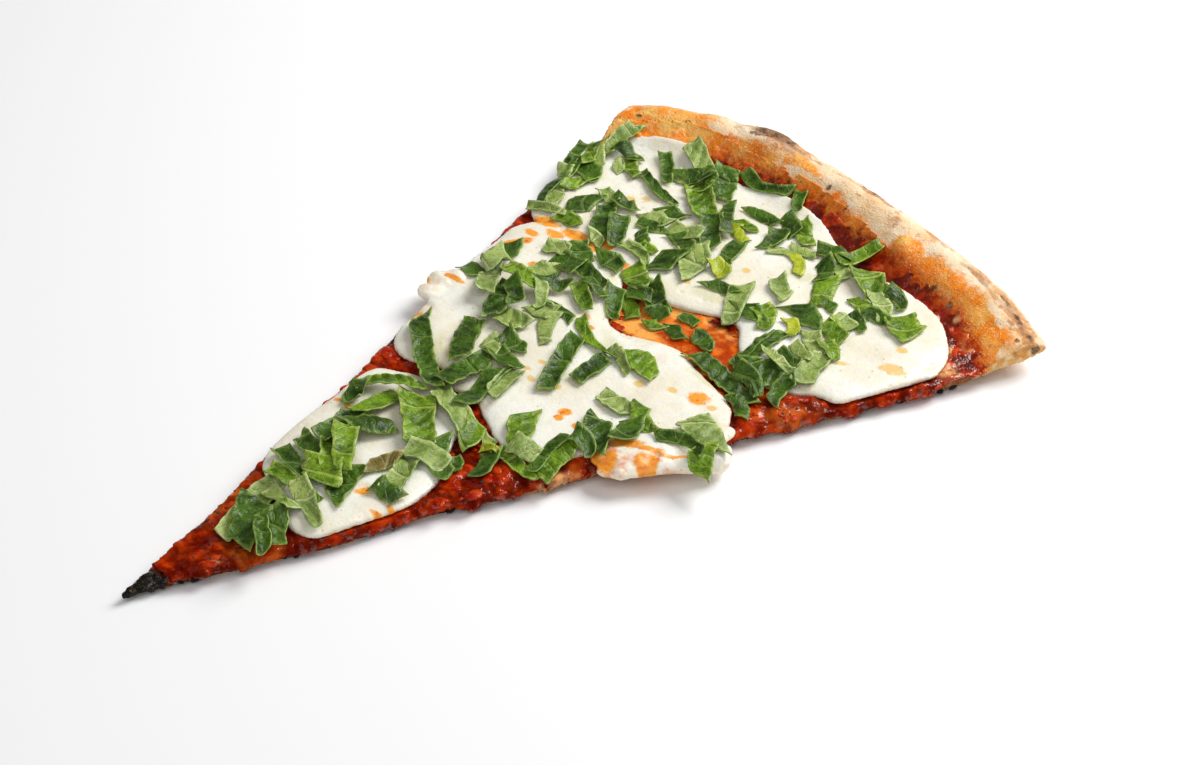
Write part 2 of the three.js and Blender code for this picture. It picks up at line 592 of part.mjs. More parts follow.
// Heights at which a thin leaf comes to rest over the map: it touches what lies highest and hangs a little
// between.
function settle(grid, heights) {
  const rest = grid.map((row) => row.map(() => OVERHANG_FLOOR));
  const touches = [];
  const last = grid.length - 1;
  for (let i = 0; i < last; i++) {
    for (let j = 0; j < SHRED_COLUMNS; j++) {
      for (const third of [[i, j + 1], [i + 1, j]]) {
        const keys = [[i, j], [i + 1, j + 1], third];
        const corners = keys.map(([a, b]) => grid[a][b]);
        eachCell(corners, (cell, shares) => touches.push({ keys, shares, floor: heights[cell] + GAP }));
      }
    }
  }
  const raise = (i, j, height) => {
    rest[i][j] = Math.max(rest[i][j], height);
  };
  for (let step = 0; step < SETTLING_STEPS; step++) {
    for (const { keys, shares, floor } of touches) {
      const lack = floor - keys.reduce((sum, [i, j], c) => sum + rest[i][j] * shares[c], 0);
      const strength = shares.reduce((sum, share) => sum + share * share, 0);
      if (lack <= 0) continue;
      keys.forEach(([i, j], c) => raise(i, j, Math.min(floor, rest[i][j] + (lack * shares[c]) / strength)));
    }
    for (let i = 0; i <= last; i++) {
      for (let j = 0; j <= SHRED_COLUMNS; j++) {
        if (i > 0 && i < last) raise(i, j, (rest[i - 1][j] + rest[i + 1][j]) / 2 - SAG);
        if (i > 0) raise(i, j, rest[i - 1][j] - DROOP);
        if (i < last) raise(i, j, rest[i + 1][j] - DROOP);
        if (j > 0) raise(i, j, rest[i][j - 1] - DROOP / 2);
        if (j < SHRED_COLUMNS) raise(i, j, rest[i][j + 1] - DROOP / 2);
      }
    }
  }
  return rest;
}

function shredGeometry(shred, seed, heights) {
  const [, placeX, placeY, heading, length, width, bend, narrowing, curl, roll] = shred;
  const rows = clamp(Math.round(length / SHRED_STEP), 3, 9);
  const under = Math.max(heights[rowOf(placeY) * MAP_COLUMNS + columnOf(placeX)], SLIDE_FROM);
  const slid = under + LEAF - SLIDE_FROM;
  const [x, y] = [placeX + SLIDE[0] * slid, placeY + SLIDE[1] * slid];
  const start = (heading - bend / 2) * DEGREE;
  const turn = (bend || 0.01) * DEGREE;
  const slants = [0.9 * lumps(seed, 0, 0.37, 31), 0.9 * lumps(seed, 3, 0.37, 33)]; // the ends are cut aslant
  const tilt = 0.5 * lumps(seed, 5, 0.37, 37); // one long edge stands a little higher
  const spot = (along, half) => {
    const angle = start + turn * (along + 0.5);
    return new THREE.Vector2(
      (length * (Math.sin(angle) - Math.sin(start))) / turn + half * Math.sin(angle),
      (-length * (Math.cos(angle) - Math.cos(start))) / turn - half * Math.cos(angle),
    );
  };
  const centre = spot(0, 0);
  const outline = (i, j) => {
    const across = j / SHRED_COLUMNS - 0.5;
    const even = i / rows - 0.5;
    const slant = even < 0 ? -slants[0] * even : slants[1] * even;
    const along = even + (2 * slant * across * width) / length;
    const ragged = 1 + 0.1 * lumps(i * 3, j > 1 ? 9 : 0, 2.3, seed);
    const half = width * ragged * (1 - narrowing * (even + 0.5) ** 2) * across;
    return spot(along, half).sub(centre).add(new THREE.Vector2(x, y));
  };
  const grid = Array.from({ length: rows + 1 }, (_, i) =>
    Array.from({ length: SHRED_COLUMNS + 1 }, (_, j) => outline(i, j)),
  );
  const rest = settle(grid, heights);
  const relief = (i, j) => {
    const across = j / SHRED_COLUMNS - 0.5;
    const folded = curl > 0 ? curl * 4 * across * across : -curl * (1 - 4 * across * across);
    const rolled = roll * Math.max(0, across + 0.17) * 1.5;
    const leaning = Math.abs(tilt) * (0.5 + Math.sign(tilt) * across);
    const wave = 0.22 + 0.22 * lumps(i * SHRED_STEP, seed * 20, 5, 41);
    return folded + rolled + leaning + wave;
  };
  const skin = (lift) => (i, j) => {
    const foot = grid[i][j];
    return new THREE.Vector3(foot.x, foot.y, rest[i][j] + relief(i, j) + lift);
  };
  return closedGrid(rows, SHRED_COLUMNS, skin(LEAF), skin(0));
}

// ------------------------------------------------------ materials and assembly

const finish = (color, roughness) => new THREE.MeshStandardMaterial({ color, roughness, metalness: 0 });
const MATERIALS = {
  dough: finish("#dcb98c", 0.8),
  sauce: finish("#8f1c06", 0.35),
  cheese: finish("#eee6d3", 0.4),
  dark: finish("#2e5a22", 0.5),
  bright: finish("#4a8a1c", 0.45),
  pale: finish("#7f9d66", 0.6),
};

const slice = new THREE.Group();

function add(name, geometry, material) {
  const mesh = new THREE.Mesh(geometry, material);
  mesh.name = name;
  slice.add(mesh);
  return mesh;
}

const wasm = await Module();
wasm.setup();

add("crust", doughGeometry(), MATERIALS.dough);
add("sauce", sauceGeometry(), MATERIALS.sauce);
add("cheese_tip", poolGeometry(POOLS.cheese_tip), MATERIALS.cheese);
add("cheese_middle", middlePoolGeometry(wasm), MATERIALS.cheese);
add("cheese_rim", poolGeometry(POOLS.cheese_rim), MATERIALS.cheese);

const heights = new Float32Array(MAP_COLUMNS * MAP_ROWS);
slice.children.forEach((mesh) => paint(heights, mesh.geometry));
SHREDS.forEach((shred, k) => {
  const geometry = shredGeometry(shred, k + 1, heights);
  paint(heights, geometry);
  add(`basil_${String(k + 1).padStart(2, "0")}`, geometry, MATERIALS[shred[0]]);
});

const box = new THREE.Box3().setFromObject(slice);
const middle = box.getCenter(new THREE.Vector3());
slice.position.set(-middle.x, -middle.y, -box.min.z);

const part = new THREE.Group();
part.add(slice);

export default part;
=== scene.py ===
# %% [markdown]
# # A slice of cheese pizza with basil
#
# This lesson dresses a plain model of a pizza slice. The plain model has a solid for the dough, one for the
# sauce, three for the melted cheese and 55 for the larger shreds of basil. Each of them is copied, refined
# and given a finish of its own, and the small things that lie on a real slice are added: little shreds,
# tomato pulp, charred crumbs. The plain solids stay in the file as the fixed frame, so every finished piece
# lies exactly where they do.

# %% Load the plain model
import itertools
import json
import math

import bmesh
import bpy
import numpy as np
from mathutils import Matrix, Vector
from mathutils.bvhtree import BVHTree


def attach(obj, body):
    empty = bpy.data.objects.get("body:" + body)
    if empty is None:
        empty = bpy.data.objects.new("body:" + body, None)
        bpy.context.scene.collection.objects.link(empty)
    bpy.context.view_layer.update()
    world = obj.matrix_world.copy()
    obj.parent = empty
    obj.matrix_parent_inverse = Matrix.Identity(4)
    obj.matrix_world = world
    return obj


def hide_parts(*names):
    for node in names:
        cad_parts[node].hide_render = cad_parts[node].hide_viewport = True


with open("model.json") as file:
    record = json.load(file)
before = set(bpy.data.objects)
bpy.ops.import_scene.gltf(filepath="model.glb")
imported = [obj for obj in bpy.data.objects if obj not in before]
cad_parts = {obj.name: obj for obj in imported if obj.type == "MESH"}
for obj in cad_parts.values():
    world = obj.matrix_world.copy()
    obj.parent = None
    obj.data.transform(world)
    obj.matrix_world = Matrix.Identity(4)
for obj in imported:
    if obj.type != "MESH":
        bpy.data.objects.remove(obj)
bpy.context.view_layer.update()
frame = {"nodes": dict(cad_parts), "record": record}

MM = 0.001
MOST_TRIANGLES = 194000  # in one piece
DOUGH_MESH, SOFT_MESH = 0.6, 0.5  # millimetres between the points of a refined piece
random = np.random.default_rng(7)

# %% [markdown]
# ## Where things are
#
# A slice is easiest to describe from its point. Here x runs to the right, y from the point to the middle of
# the rim and z up, all in millimetres. The blunt point of the dough is the lowest y of its solid, 1.13 mm
# from the sharp corner where the two cuts would meet. Places of shreds are listed as if everything lay 6 mm
# high, along the line of sight, so `seen_at` slides each to where it belongs at its real height.

# %% The slice's own coordinates
crust_corners = np.array([v.co for v in frame["nodes"]["crust"].data.vertices]) / MM
BLUNT = 1.13  # from the blunt point to the sharp corner where the cuts would meet
tip_corners = crust_corners[crust_corners[:, 1] < crust_corners[:, 1].min() + 0.02]
POINT = np.array([tip_corners[:, 0].mean(), crust_corners[:, 1].min() - BLUNT, 0.0])
HALF_ANGLE = 19.3  # degrees from the middle line to each cut
LEAN = math.radians(HALF_ANGLE)
RIGHT_OUT = np.array([math.cos(LEAN), -math.sin(LEAN), 0.0])  # the way that the right-hand cut faces
LEFT_OUT = np.array([-math.cos(LEAN), -math.sin(LEAN), 0.0])
LISTED_HEIGHT = 6
SLIDE_X, SLIDE_Y = 1.016, 0.876  # along the line of sight, for each millimetre of height


def place(x, y, z=0.0):
    """A spot on the slice, in Blender's metres."""
    return Vector((x + POINT[0], y + POINT[1], z + POINT[2])) * MM


def seen_at(x, y, z):
    """A place that is listed as if at LISTED_HEIGHT, slid to where it is at height z."""
    return x + SLIDE_X * (z - LISTED_HEIGHT), y - SLIDE_Y * (z - LISTED_HEIGHT)


print("the point of the slice is at", POINT.round(2), "mm")

# %% [markdown]
# ## Camera
#
# The slice is seen from its right, from about 37 degrees above the table and 0.7 m away, through a long
# lens, so its two cuts hardly converge. The camera is aimed with a quaternion made from the line of sight.

# %% Camera
def aim(thing, target):
    """Turns a camera or a lamp towards a spot."""
    thing.rotation_mode = "QUATERNION"
    thing.rotation_quaternion = (target - thing.location).to_track_quat("-Z", "Y")


camera = bpy.data.objects.new("camera", bpy.data.cameras.new("camera"))
bpy.context.scene.collection.objects.link(camera)
camera.data.lens = 88.1
camera.data.sensor_width = 36
camera.data.clip_start = 0.01
camera.location = place(432.4, -237.1, 418.3)
aim(camera, place(7.5, 129.6))
bpy.context.scene.camera = camera
print("camera at", [round(v, 3) for v in camera.location])

# %% [markdown]
# ## Table and light
#
# Food looks fresh in a large soft light from behind, with a pale table that throws light back into the
# shadows. One lamp like a big window stands behind and to the right, a weaker one over the camera fills the
# front, and the world gives an even pale grey. The table is a plane, which isn't part of the slice.

# %% Table
bpy.ops.object.select_all(action="DESELECT")
bpy.ops.mesh.primitive_plane_add(size=6, location=(0, 0, -0.0001))
table = bpy.context.object
table.name = "table"
table_paint = bpy.data.materials.new("white_table")
table_paint.use_nodes = True
table_paint.node_tree.nodes["Principled BSDF"].inputs["Base Color"].default_value = (0.97, 0.97, 0.97, 1)
table_paint.node_tree.nodes["Principled BSDF"].inputs["Roughness"].default_value = 0.8
table.data.materials.append(table_paint)
print("a table", round(table.dimensions.x, 1), "m wide")


# %% Lamps
def soft_lamp(name, x, y, z, size, watts):
    """A square lamp at a spot in millimetres from the middle of the slice, aimed at it."""
    lamp = bpy.data.objects.new(name, bpy.data.lights.new(name, "AREA"))
    bpy.context.scene.collection.objects.link(lamp)
    lamp.data.size = size
    lamp.data.energy = watts
    lamp.location = Vector((x, y, z)) * MM
    aim(lamp, Vector())


soft_lamp("window", 100, 600, 600, 0.5, 8.0)
soft_lamp("fill", 400, -600, 900, 1.2, 5.6)
world = bpy.data.worlds.new("pale_room")
bpy.context.scene.world = world
world.use_nodes = True
world.node_tree.nodes["Background"].inputs["Color"].default_value = (1, 1, 1, 1)
world.node_tree.nodes["Background"].inputs["Strength"].default_value = 0.14
bpy.context.scene.view_settings.view_transform = "Standard"
print("table, two lamps and a pale room")

# %% [markdown]
# ## Tools for shaping
#
# Every soft piece starts in the same way: a plain solid is copied, its loose triangles are merged, a
# Subdivision Surface smooths it, and a Remesh turns it into small even squares that can carry relief. The
# relief comes from smooth random bumps. They could be sculpted by hand, but a noise function with a known
# width keeps every bump at the right size and always gives the same slice.

# %% Selecting, copying and finishing
def only(piece):
    """Selects one piece alone."""
    bpy.ops.object.select_all(action="DESELECT")
    piece.select_set(True)
    bpy.context.view_layer.objects.active = piece


def copy_of(node, name):
    """A merged copy of a plain solid, with a mesh of its own."""
    piece = frame["nodes"][node].copy()
    piece.data = piece.data.copy()
    piece.name = piece.data.name = name
    piece.parent = None
    for key in list(piece.keys()):
        del piece[key]
    piece.data.materials.clear()
    bpy.context.scene.collection.objects.link(piece)
    only(piece)
    bpy.ops.mesh.customdata_custom_splitnormals_clear()
    bpy.ops.object.mode_set(mode="EDIT")
    bpy.ops.mesh.select_all(action="SELECT")
    bpy.ops.mesh.remove_doubles(threshold=1e-6)
    bpy.ops.mesh.tris_convert_to_quads(face_threshold=math.radians(50), shape_threshold=math.radians(60))
    bpy.ops.object.mode_set(mode="OBJECT")
    return piece


def add_modifier(piece, kind, **settings):
    """Adds a modifier and applies it at once."""
    only(piece)
    modifier = piece.modifiers.new(kind.lower(), kind)
    for key, value in settings.items():
        setattr(modifier, key, value)
    bpy.ops.object.modifier_apply(modifier=modifier.name)


def evenly_meshed(piece, step, smoothing, levels=2):
    """Rounds a piece and gives it an even mesh of squares `step` millimetres wide."""
    add_modifier(piece, "SUBSURF", levels=levels, render_levels=levels)
    add_modifier(piece, "REMESH", mode="VOXEL", voxel_size=step * MM, use_smooth_shade=True)
    add_modifier(piece, "SMOOTH", factor=0.5, iterations=smoothing)


def keep_creases(piece, angle):
    """Marks the edges that turn more sharply than `angle` degrees, so that a subdivision keeps them."""
    only(piece)
    bpy.ops.object.mode_set(mode="EDIT")
    bpy.ops.mesh.select_all(action="DESELECT")
    bpy.ops.mesh.edges_select_sharp(sharpness=math.radians(angle))
    bpy.ops.transform.edge_crease(value=0.8)
    bpy.ops.object.mode_set(mode="OBJECT")


# %% Reading and moving the points of a mesh
def points_of(piece):
    """The points of a mesh, in the slice's millimetres."""
    flat = np.empty(3 * len(piece.data.vertices), np.float32)
    piece.data.vertices.foreach_get("co", flat)
    return flat.reshape(-1, 3).astype(float) / MM - POINT


def normals_of(piece):
    """Which way the surface faces at each point."""
    flat = np.empty(3 * len(piece.data.vertices), np.float32)
    piece.data.vertices.foreach_get("normal", flat)
    return flat.reshape(-1, 3).astype(float)


def move_points(piece, points):
    """Puts the points of a mesh at new places."""
    piece.data.vertices.foreach_set("co", ((points + POINT) * MM).astype(np.float32).ravel())
    piece.data.update()


def write_masks(piece, **masks):
    """Keeps numbers from 0 to 1 at each point, under their names, for the finish to read."""
    for name, values in masks.items():
        mask = piece.data.attributes.new(name, "FLOAT", "POINT")
        mask.data.foreach_set("value", np.clip(values, 0, 1).astype(np.float32))


def thinned(piece):
    """Merges small faces where the surface is flattest, down to MOST_TRIANGLES. The masks stay."""
    triangles = sum(len(face.vertices) - 2 for face in piece.data.polygons)
    if triangles > MOST_TRIANGLES:
        add_modifier(piece, "DECIMATE", ratio=MOST_TRIANGLES / triangles)


# %% Smooth random bumps
def ease(low, high, value):
    """0 below `low`, 1 above `high` and a smooth slope between them."""
    t = np.clip((value - low) / (high - low), 0, 1)
    return t * t * (3 - 2 * t)


def bumps(points, size, seed=0):
    """Smooth random heights from about -1 to 1, in bumps `size` millimetres wide."""
    p = points / size + 31.7 * seed
    cell = np.floor(p)
    inside = p - cell
    fade = inside**3 * (inside * (inside * 6 - 15) + 10)
    total = np.zeros(len(p))
    for corner in itertools.product((0, 1), repeat=3):
        at = cell + corner
        turn = np.sin(at @ (127.1, 311.7, 74.7)) * 43758.5453 % 1 * 2 * math.pi
        up = np.sin(at @ (269.5, 183.3, 246.1)) * 28001.8384 % 1 * 2 - 1
        flat = np.sqrt(1 - up**2)
        away = inside - corner
        slope = away[:, 0] * flat * np.cos(turn) + away[:, 1] * flat * np.sin(turn) + away[:, 2] * up
        total += slope * np.prod(np.where(corner, fade, 1 - fade), axis=1)
    return 1.6 * total


def near_spots(points, spots, uneven=0.35, seed=3):
    """1 on a list of uneven spots (x, y, length, width, heading) and 0 away from them."""
    wobble = uneven * bumps(points, 3.4, seed)
    found = np.zeros(len(points))
    for x, y, length, width, heading in spots:
        turn = math.radians(heading)
        along = (points[:, 0] - x) * math.cos(turn) + (points[:, 1] - y) * math.sin(turn)
        across = -(points[:, 0] - x) * math.sin(turn) + (points[:, 1] - y) * math.cos(turn)
        reach = np.hypot(along / (length / 2), across / (width / 2)) + wobble
        found = np.maximum(found, 1 - ease(0.45, 1.25, reach))
    return found


# %% [markdown]
# ## Tools for finishes
#
# A finish is a small network of nodes round one Principled shader. The helpers below each add one kind of
# node, so that a recipe reads like a sentence: take this colour, blend it with that one where the mask says
# so. All patterns are in Object coordinates, in metres, and stay put when the camera moves.

# %% Nodes for the finishes
def colour(code):
    """A paint colour such as "#d9a066", as the linear numbers that Blender works with."""
    channels = [int(code[i : i + 2], 16) / 255 for i in (1, 3, 5)]
    return [c / 12.92 if c <= 0.04045 else ((c + 0.055) / 1.055) ** 2.4 for c in channels] + [1.0]


class Finish:
    """One material and the nodes that it is made of."""

    def __init__(self, name, roughness=0.5):
        self.material = bpy.data.materials.new(name)
        self.material.use_nodes = True
        self.tree = self.material.node_tree
        self.shader = self.tree.nodes["Principled BSDF"]
        self.shader.inputs["Roughness"].default_value = roughness
        self.place = self.add("ShaderNodeTexCoord").outputs["Object"]

    def add(self, kind, values=(), **settings):
        """Adds a node. `values` are its inputs in order: numbers, colours, other nodes' outputs or None."""
        node = self.tree.nodes.new(kind)
        for key, value in settings.items():
            setattr(node, key, value)
        for socket, value in zip(node.inputs, values):
            if isinstance(value, bpy.types.NodeSocket):
                self.tree.links.new(value, socket)
            elif value is not None:
                socket.default_value = value
        return node

    def mask(self, name):
        """A number kept at the points of the mesh."""
        return self.add("ShaderNodeAttribute", attribute_name=name).outputs["Fac"]

    def ragged(self, name, size=1.6, amount=2.0, crisp=0.2):
        """A mask whose edge is broken up by clouds `size` millimetres wide."""
        broken = self.maths("ADD", self.mask(name), self.times(self.clouds(size, 4, 0.65), amount))
        edge = self.between(broken, 0.5 * amount + 0.5 - crisp, 0.5 * amount + 0.5 + crisp)
        return self.times(edge, self.between(self.mask(name), 0.02, 0.25))

    def clouds(self, size, detail=3.0, roughness=0.55, stretch=None):
        """Soft random patches, `size` millimetres wide."""
        place = self.place
        if stretch:
            place = self.add("ShaderNodeMapping", [place, None, None, stretch]).outputs[0]
        node = self.add("ShaderNodeTexNoise", [place])
        node.inputs["Scale"].default_value = 1 / (size * MM)
        node.inputs["Detail"].default_value = detail
        node.inputs["Roughness"].default_value = roughness
        return node.outputs["Fac"]

    def cells(self, size, feature="F1"):
        """Distance from the middles (F1) or the edges of random cells, `size` millimetres wide."""
        node = self.add("ShaderNodeTexVoronoi", [self.place], feature=feature)
        node.inputs["Scale"].default_value = 1 / (size * MM)
        return node.outputs["Distance"]

    def between(self, value, low, high, least=0.0, most=1.0):
        """A smooth slope from `least` at `low` to `most` at `high`."""
        return self.add(
            "ShaderNodeMapRange", [value, low, high, least, most], interpolation_type="SMOOTHSTEP"
        ).outputs[0]

    def maths(self, operation, a, b=0.0):
        return self.add("ShaderNodeMath", [a, b], operation=operation).outputs[0]

    def times(self, a, b):
        return self.maths("MULTIPLY", a, b)

    def blend(self, share, below, above, most=1.0):
        """One colour over another. `share`, from 0 to 1, says how much of `most` of the upper one shows."""
        if most != 1.0:
            share = self.times(share, most)
        colours = [colour(c) if isinstance(c, str) else c for c in (below, above)]
        return self.add("ShaderNodeMix", [share, *[None] * 5, *colours], data_type="RGBA").outputs[2]

    def patched(self, below, above, size, low, high, most=1.0, detail=3.0, roughness=0.55):
        """`above` over `below` in soft random patches, `size` millimetres wide."""
        patches = self.between(self.clouds(size, detail, roughness), low, high, 0, most)
        return self.blend(patches, below, above)

    def drive(self, socket, result):
        """Lets the output of a node drive an input of the shader."""
        self.tree.links.new(result, self.shader.inputs[socket])

    def relief(self, height, depth):
        """Fine relief, `depth` millimetres deep, that is too small for the mesh."""
        bump = self.add("ShaderNodeBump")
        bump.inputs["Strength"].default_value = 1.0
        bump.inputs["Distance"].default_value = depth * MM
        self.tree.links.new(height, bump.inputs["Height"])
        for socket in ("Normal", "Coat Normal"):
            self.drive(socket, bump.outputs[0])

    def set(self, **values):
        """Sets plain numbers on the shader, such as Coat_Weight=0.2."""
        for key, value in values.items():
            self.shader.inputs[key.replace("_", " ")].default_value = value


def dress(piece, node, slot, *finishes):
    """Gives a piece its finishes, lets it ride with the slice and stand for its plain solid."""
    for finish in finishes:
        piece.data.materials.append(finish.material)
    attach(piece, "root")
    if node:
        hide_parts(node)
    print(piece.name, len(piece.data.polygons), "faces")


# %% [markdown]
# ## The dough
#
# The dough is a thin sheet that puffs up into a rim along the arc. In a hot oven the rim blisters, the tops
# of the blisters and the thin point char, and dry flour on the outside stays pale. The sauce boils up and
# stains the inner side of the rim orange. The two cuts show crumb. The solid gives the form, and creases
# keep its cut edges while the Subdivision Surface rounds the rim. That rounding also wears the point away,
# so the point is stretched and broadened again. Bubbles and cracks have set places, and the crumb's holes
# are random.

# %% Marks on the rim
BUBBLES = [
    [-47, 217, 9, 0.7], [-38, 220, 6, 0.5], [-19, 222, 6, 0.5], [-2, 221, 6, 0.5], [16, 221, 7, 0.6],
    [33, 219, 6, 0.5], [51, 214, 7, 0.6], [60, 211, 6, 0.6], [67, 207, 5, 0.5], [-62, 210, 7, 0.6],
    [-32, 223, 12, 0.9], [-26, 222.4, 8, 0.6], [25, 213.5, 6, 0.8], [27.4, 211.6, 7, 1.1],
    [44, 210, 8, 0.7], [5, 215, 5, 0.5], [-27, 217, 5, 0.4],
]
CRACKS = [
    [(-42, 219.6), (-36, 220.6), (-31, 219.6), (-24, 221.2), (-19, 221.6)],
    [(-66, 206), (-62, 201.6), (-58.4, 200.4)],
    [(40, 219), (47, 217.4), (55, 214.6)],
    [(58, 215.2), (64, 213.2), (69, 210.4)],
    [(-8, 223.6), (2, 223.4), (12, 223)],
    [(20, 205.6), (27, 206.8), (33, 206.4)],
    [(-36, 219.4), (-30, 220.2), (-22, 219.8)],
]
SCARS = [
    [-30, 222.6, 16, 7, 8], [5, 225.8, 15, 4, -2], [-51.4, 211, 1.8, 1.3, 0], [-63.6, 204.5, 2, 1.3, 20],
    [-4.9, 217.1, 2.4, 1.8, 0], [3.2, 215, 2, 1.6, 0], [57, 216.4, 5, 1.0, -15], [63.5, 214, 6, 1.1, -20],
    [70, 211, 5, 1.2, -24], [68.8, 207.7, 1.6, 1.4, 0], [74.5, 209.6, 6, 3, -30], [40, 209, 2.4, 1.8, -20],
    [47, 207.6, 2, 1.6, 0], [-71, 208.6, 4, 1.6, 45], [-66, 214.6, 7, 1.4, 30], [-33, 218.4, 5, 1.6, 8],
]
TOASTED = [
    [6.6, 223.4, 13, 5, -2], [-23.6, 221.6, 20, 8, 5], [62, 214, 18, 6, -18], [-62, 213, 20, 4, 22],
    [30, 222, 12, 4, -8], [-47, 221, 12, 4, 12], [76, 207, 12, 8, -20], [46, 219, 10, 4, -12],
    [69, 211.4, 18, 5, -25], [57, 217, 16, 4, -15], [73, 205, 10, 3, -30],
]

# Radii, listed from the left-hand cut to the right-hand one
STAIN_ENDS = [219, 222, 221, 219, 219.6, 219, 217, 215.5, 216, 218.8, 220, 221.4, 217]
RED_ENDS = [197, 207, 213.2, 214.4, 213.4, 211.8, 213, 213.8, 210]  # where red sauce turns into orange stain
SAUCE_ENDS = [211, 217.6, 217, 217, 215, 212.5, 214, 210]
STAIN_LOBES = [[-26, 214.6, 15, 3.6, 5], [-16.4, 219, 11, 4, 0], [26, 213.4, 11, 9, 0], [-52, 213, 18, 7, 12]]
BARE_PATCHES = [
    [-43.6, 214.2, 9, 3.4, 8], [-36.4, 217.2, 12, 4.0, 8], [-12, 216, 20, 3.8, 0], [15.5, 214.4, 12, 5, -8],
    [70, 203, 7, 4, -20], [-70, 203, 9, 3.4, 50], [60, 210.4, 9, 2.2, -20], [-66, 211, 14, 3.2, 28],
]
print(len(BUBBLES), "bubbles,", len(CRACKS), "cracks and", len(SCARS) + len(TOASTED), "browned places")


# %% Finding places on the slice
def from_crack(points, crack):
    """Distance of each point, seen from above, from a bent line."""
    nearest = np.full(len(points), 1e3)
    for a, b in zip(crack, crack[1:]):
        a, b = np.array(a, float), np.array(b, float)
        share = np.clip(((points[:, :2] - a) @ (b - a)) / ((b - a) @ (b - a)), 0, 1)
        nearest = np.minimum(nearest, np.linalg.norm(points[:, :2] - a - share[:, None] * (b - a), axis=1))
    return nearest


def across_slice(at):
    """How far each point lies across the slice: 0 at the left-hand cut and 1 at the right-hand one."""
    return (np.degrees(np.arctan2(at[:, 0], at[:, 1])) / HALF_ANGLE + 1) / 2


def radius_at(share, ends):
    """Radii that are listed from left to right, read at each point's share of the way across."""
    return np.interp(share, np.linspace(0, 1, len(ends)), ends)


def past_red(at, radius, share):
    """How far each point lies beyond the uneven line where red sauce turns into orange stain."""
    return radius - radius_at(share, RED_ENDS) + 1.2 * bumps(at, 6, 52)


def burnt_point(at, radius):
    """1 at the charred point of the slice, with an uneven edge."""
    return 1 - ease(7, 12, radius + 2.4 * bumps(at, 3.4, 15))


def hill(at, x, y, width, power):
    """1 at a spot and 0 beyond half a `width` from it. A higher `power` gives a flatter top."""
    reach = ((at[:, 0] - x) ** 2 + (at[:, 1] - y) ** 2) * 4 / width**2
    return np.exp(-(reach**power))


def broad_tip(at):
    """The x of each point, spread out a little near the tip, where smoothing has made the slice too slim."""
    near = 1 - ease(6, 34, at[:, 1])
    return at[:, 0] * (1 + 0.34 * near) + 0.5 * near


# %% Shape of the dough
TIP_STRETCH = 2.7  # how far the point is drawn out again
dough = copy_of("crust", "dough")
keep_creases(dough, 50)
evenly_meshed(dough, DOUGH_MESH, 5)

at = points_of(dough)
facing = normals_of(dough)
radius = np.hypot(at[:, 0], at[:, 1])
share = across_slice(at)
to_left = facing @ LEFT_OUT
to_right = facing @ RIGHT_OUT
on_cut = ease(0.55, 0.8, np.maximum(to_left, to_right))
on_top = ease(0.2, 0.5, facing[:, 2])
below = ease(0.2, 0.5, -facing[:, 2])
rim = ease(0, 5, radius - radius_at(share, SAUCE_ENDS))
open_rim = rim * (1 - on_cut)
crumb_holes = np.maximum(0, bumps(at * (1, 1, 1.5), 1.9, 5)) + 0.5 * np.maximum(0, bumps(at, 1.0, 6))

lift = open_rim * (0.42 * bumps(at, 9, 1) + 0.22 * bumps(at, 3.6, 2) + 0.13 * bumps(at, 1.5, 3))
lift -= 0.22 * below * (1 - rim) * np.abs(bumps(at, 7, 4))
lift -= on_cut * (0.1 + 0.7 * crumb_holes)
for x, y, width, height in BUBBLES:
    lift += on_top * height * hill(at, x, y, width, 1.3)
cracked = sum(np.exp(-((from_crack(at, crack) / 0.7) ** 2)) for crack in CRACKS)
lift -= 0.55 * on_top * rim * np.minimum(cracked, 1)
at += facing * lift[:, None]
gritty = 1 - ease(9, 13, radius)
at += facing * (gritty * (0.3 * bumps(at, 1.9, 55) + 0.2 * np.abs(bumps(at, 1.1, 56))))[:, None]
to_tip = np.clip(1 - at[:, 1] / 18, 0, 1.2) ** 2
at[:, 1] -= TIP_STRETCH * to_tip
at[:, 0] = broad_tip(at)
at[:, 2] = np.maximum(at[:, 2], 0)
move_points(dough, at)
print("dough:", len(at), "points, highest", at[:, 2].max().round(2), "mm")

# %% Where the dough is charred, toasted, stained and torn
flecked = bumps(at, 3.2, 8) + 0.6 * bumps(at, 1.4, 9)
stain = 1 - ease(-3.0, 2.4, radius - radius_at(share, STAIN_ENDS) - 2.0 * bumps(at, 7, 10))
stain = np.maximum(stain, near_spots(at, STAIN_LOBES, 0.3, 18))
stain *= on_top * (1 - 0.9 * near_spots(at, BARE_PATCHES, 0.3, 19))
leopard = below * ease(0.45, 0.85, bumps(at * (1, 1, 0.3), 8, 12) + 0.5 * bumps(at, 3, 13))
leopard = np.maximum(leopard, below * ease(0.62, 0.9, bumps(at, 4.5, 14)) * ease(150, 215, radius))
toast = np.maximum(near_spots(at, TOASTED, 0.4, 16) * (1 - below), 0.5 * ease(-0.2, 0.9, flecked) * rim)
browned = ease(-0.15, 0.7, bumps(at * (1, 1, 0.3), 16, 17) + 0.5 * flecked)
hem = ease(0.3, 0.7, to_right) * (1 - ease(0.5, 1.2, at[:, 2])) * ease(-0.25, 0.2, bumps(at, 9, 57))
from_red = past_red(at, radius, share)
rusty_to = 5 * (1 - ease(0.1, 0.4, share)) - 2 * ease(0.7, 0.9, share)
on_right_cut = ease(0.5, 0.8, to_right) * (1 - ease(86, 96, radius + 6 * bumps(at, 12, 18)))
farther = 0.75 * ease(0.5, 0.8, to_right) * ease(112, 120, radius) * (1 - ease(205, 210, radius))
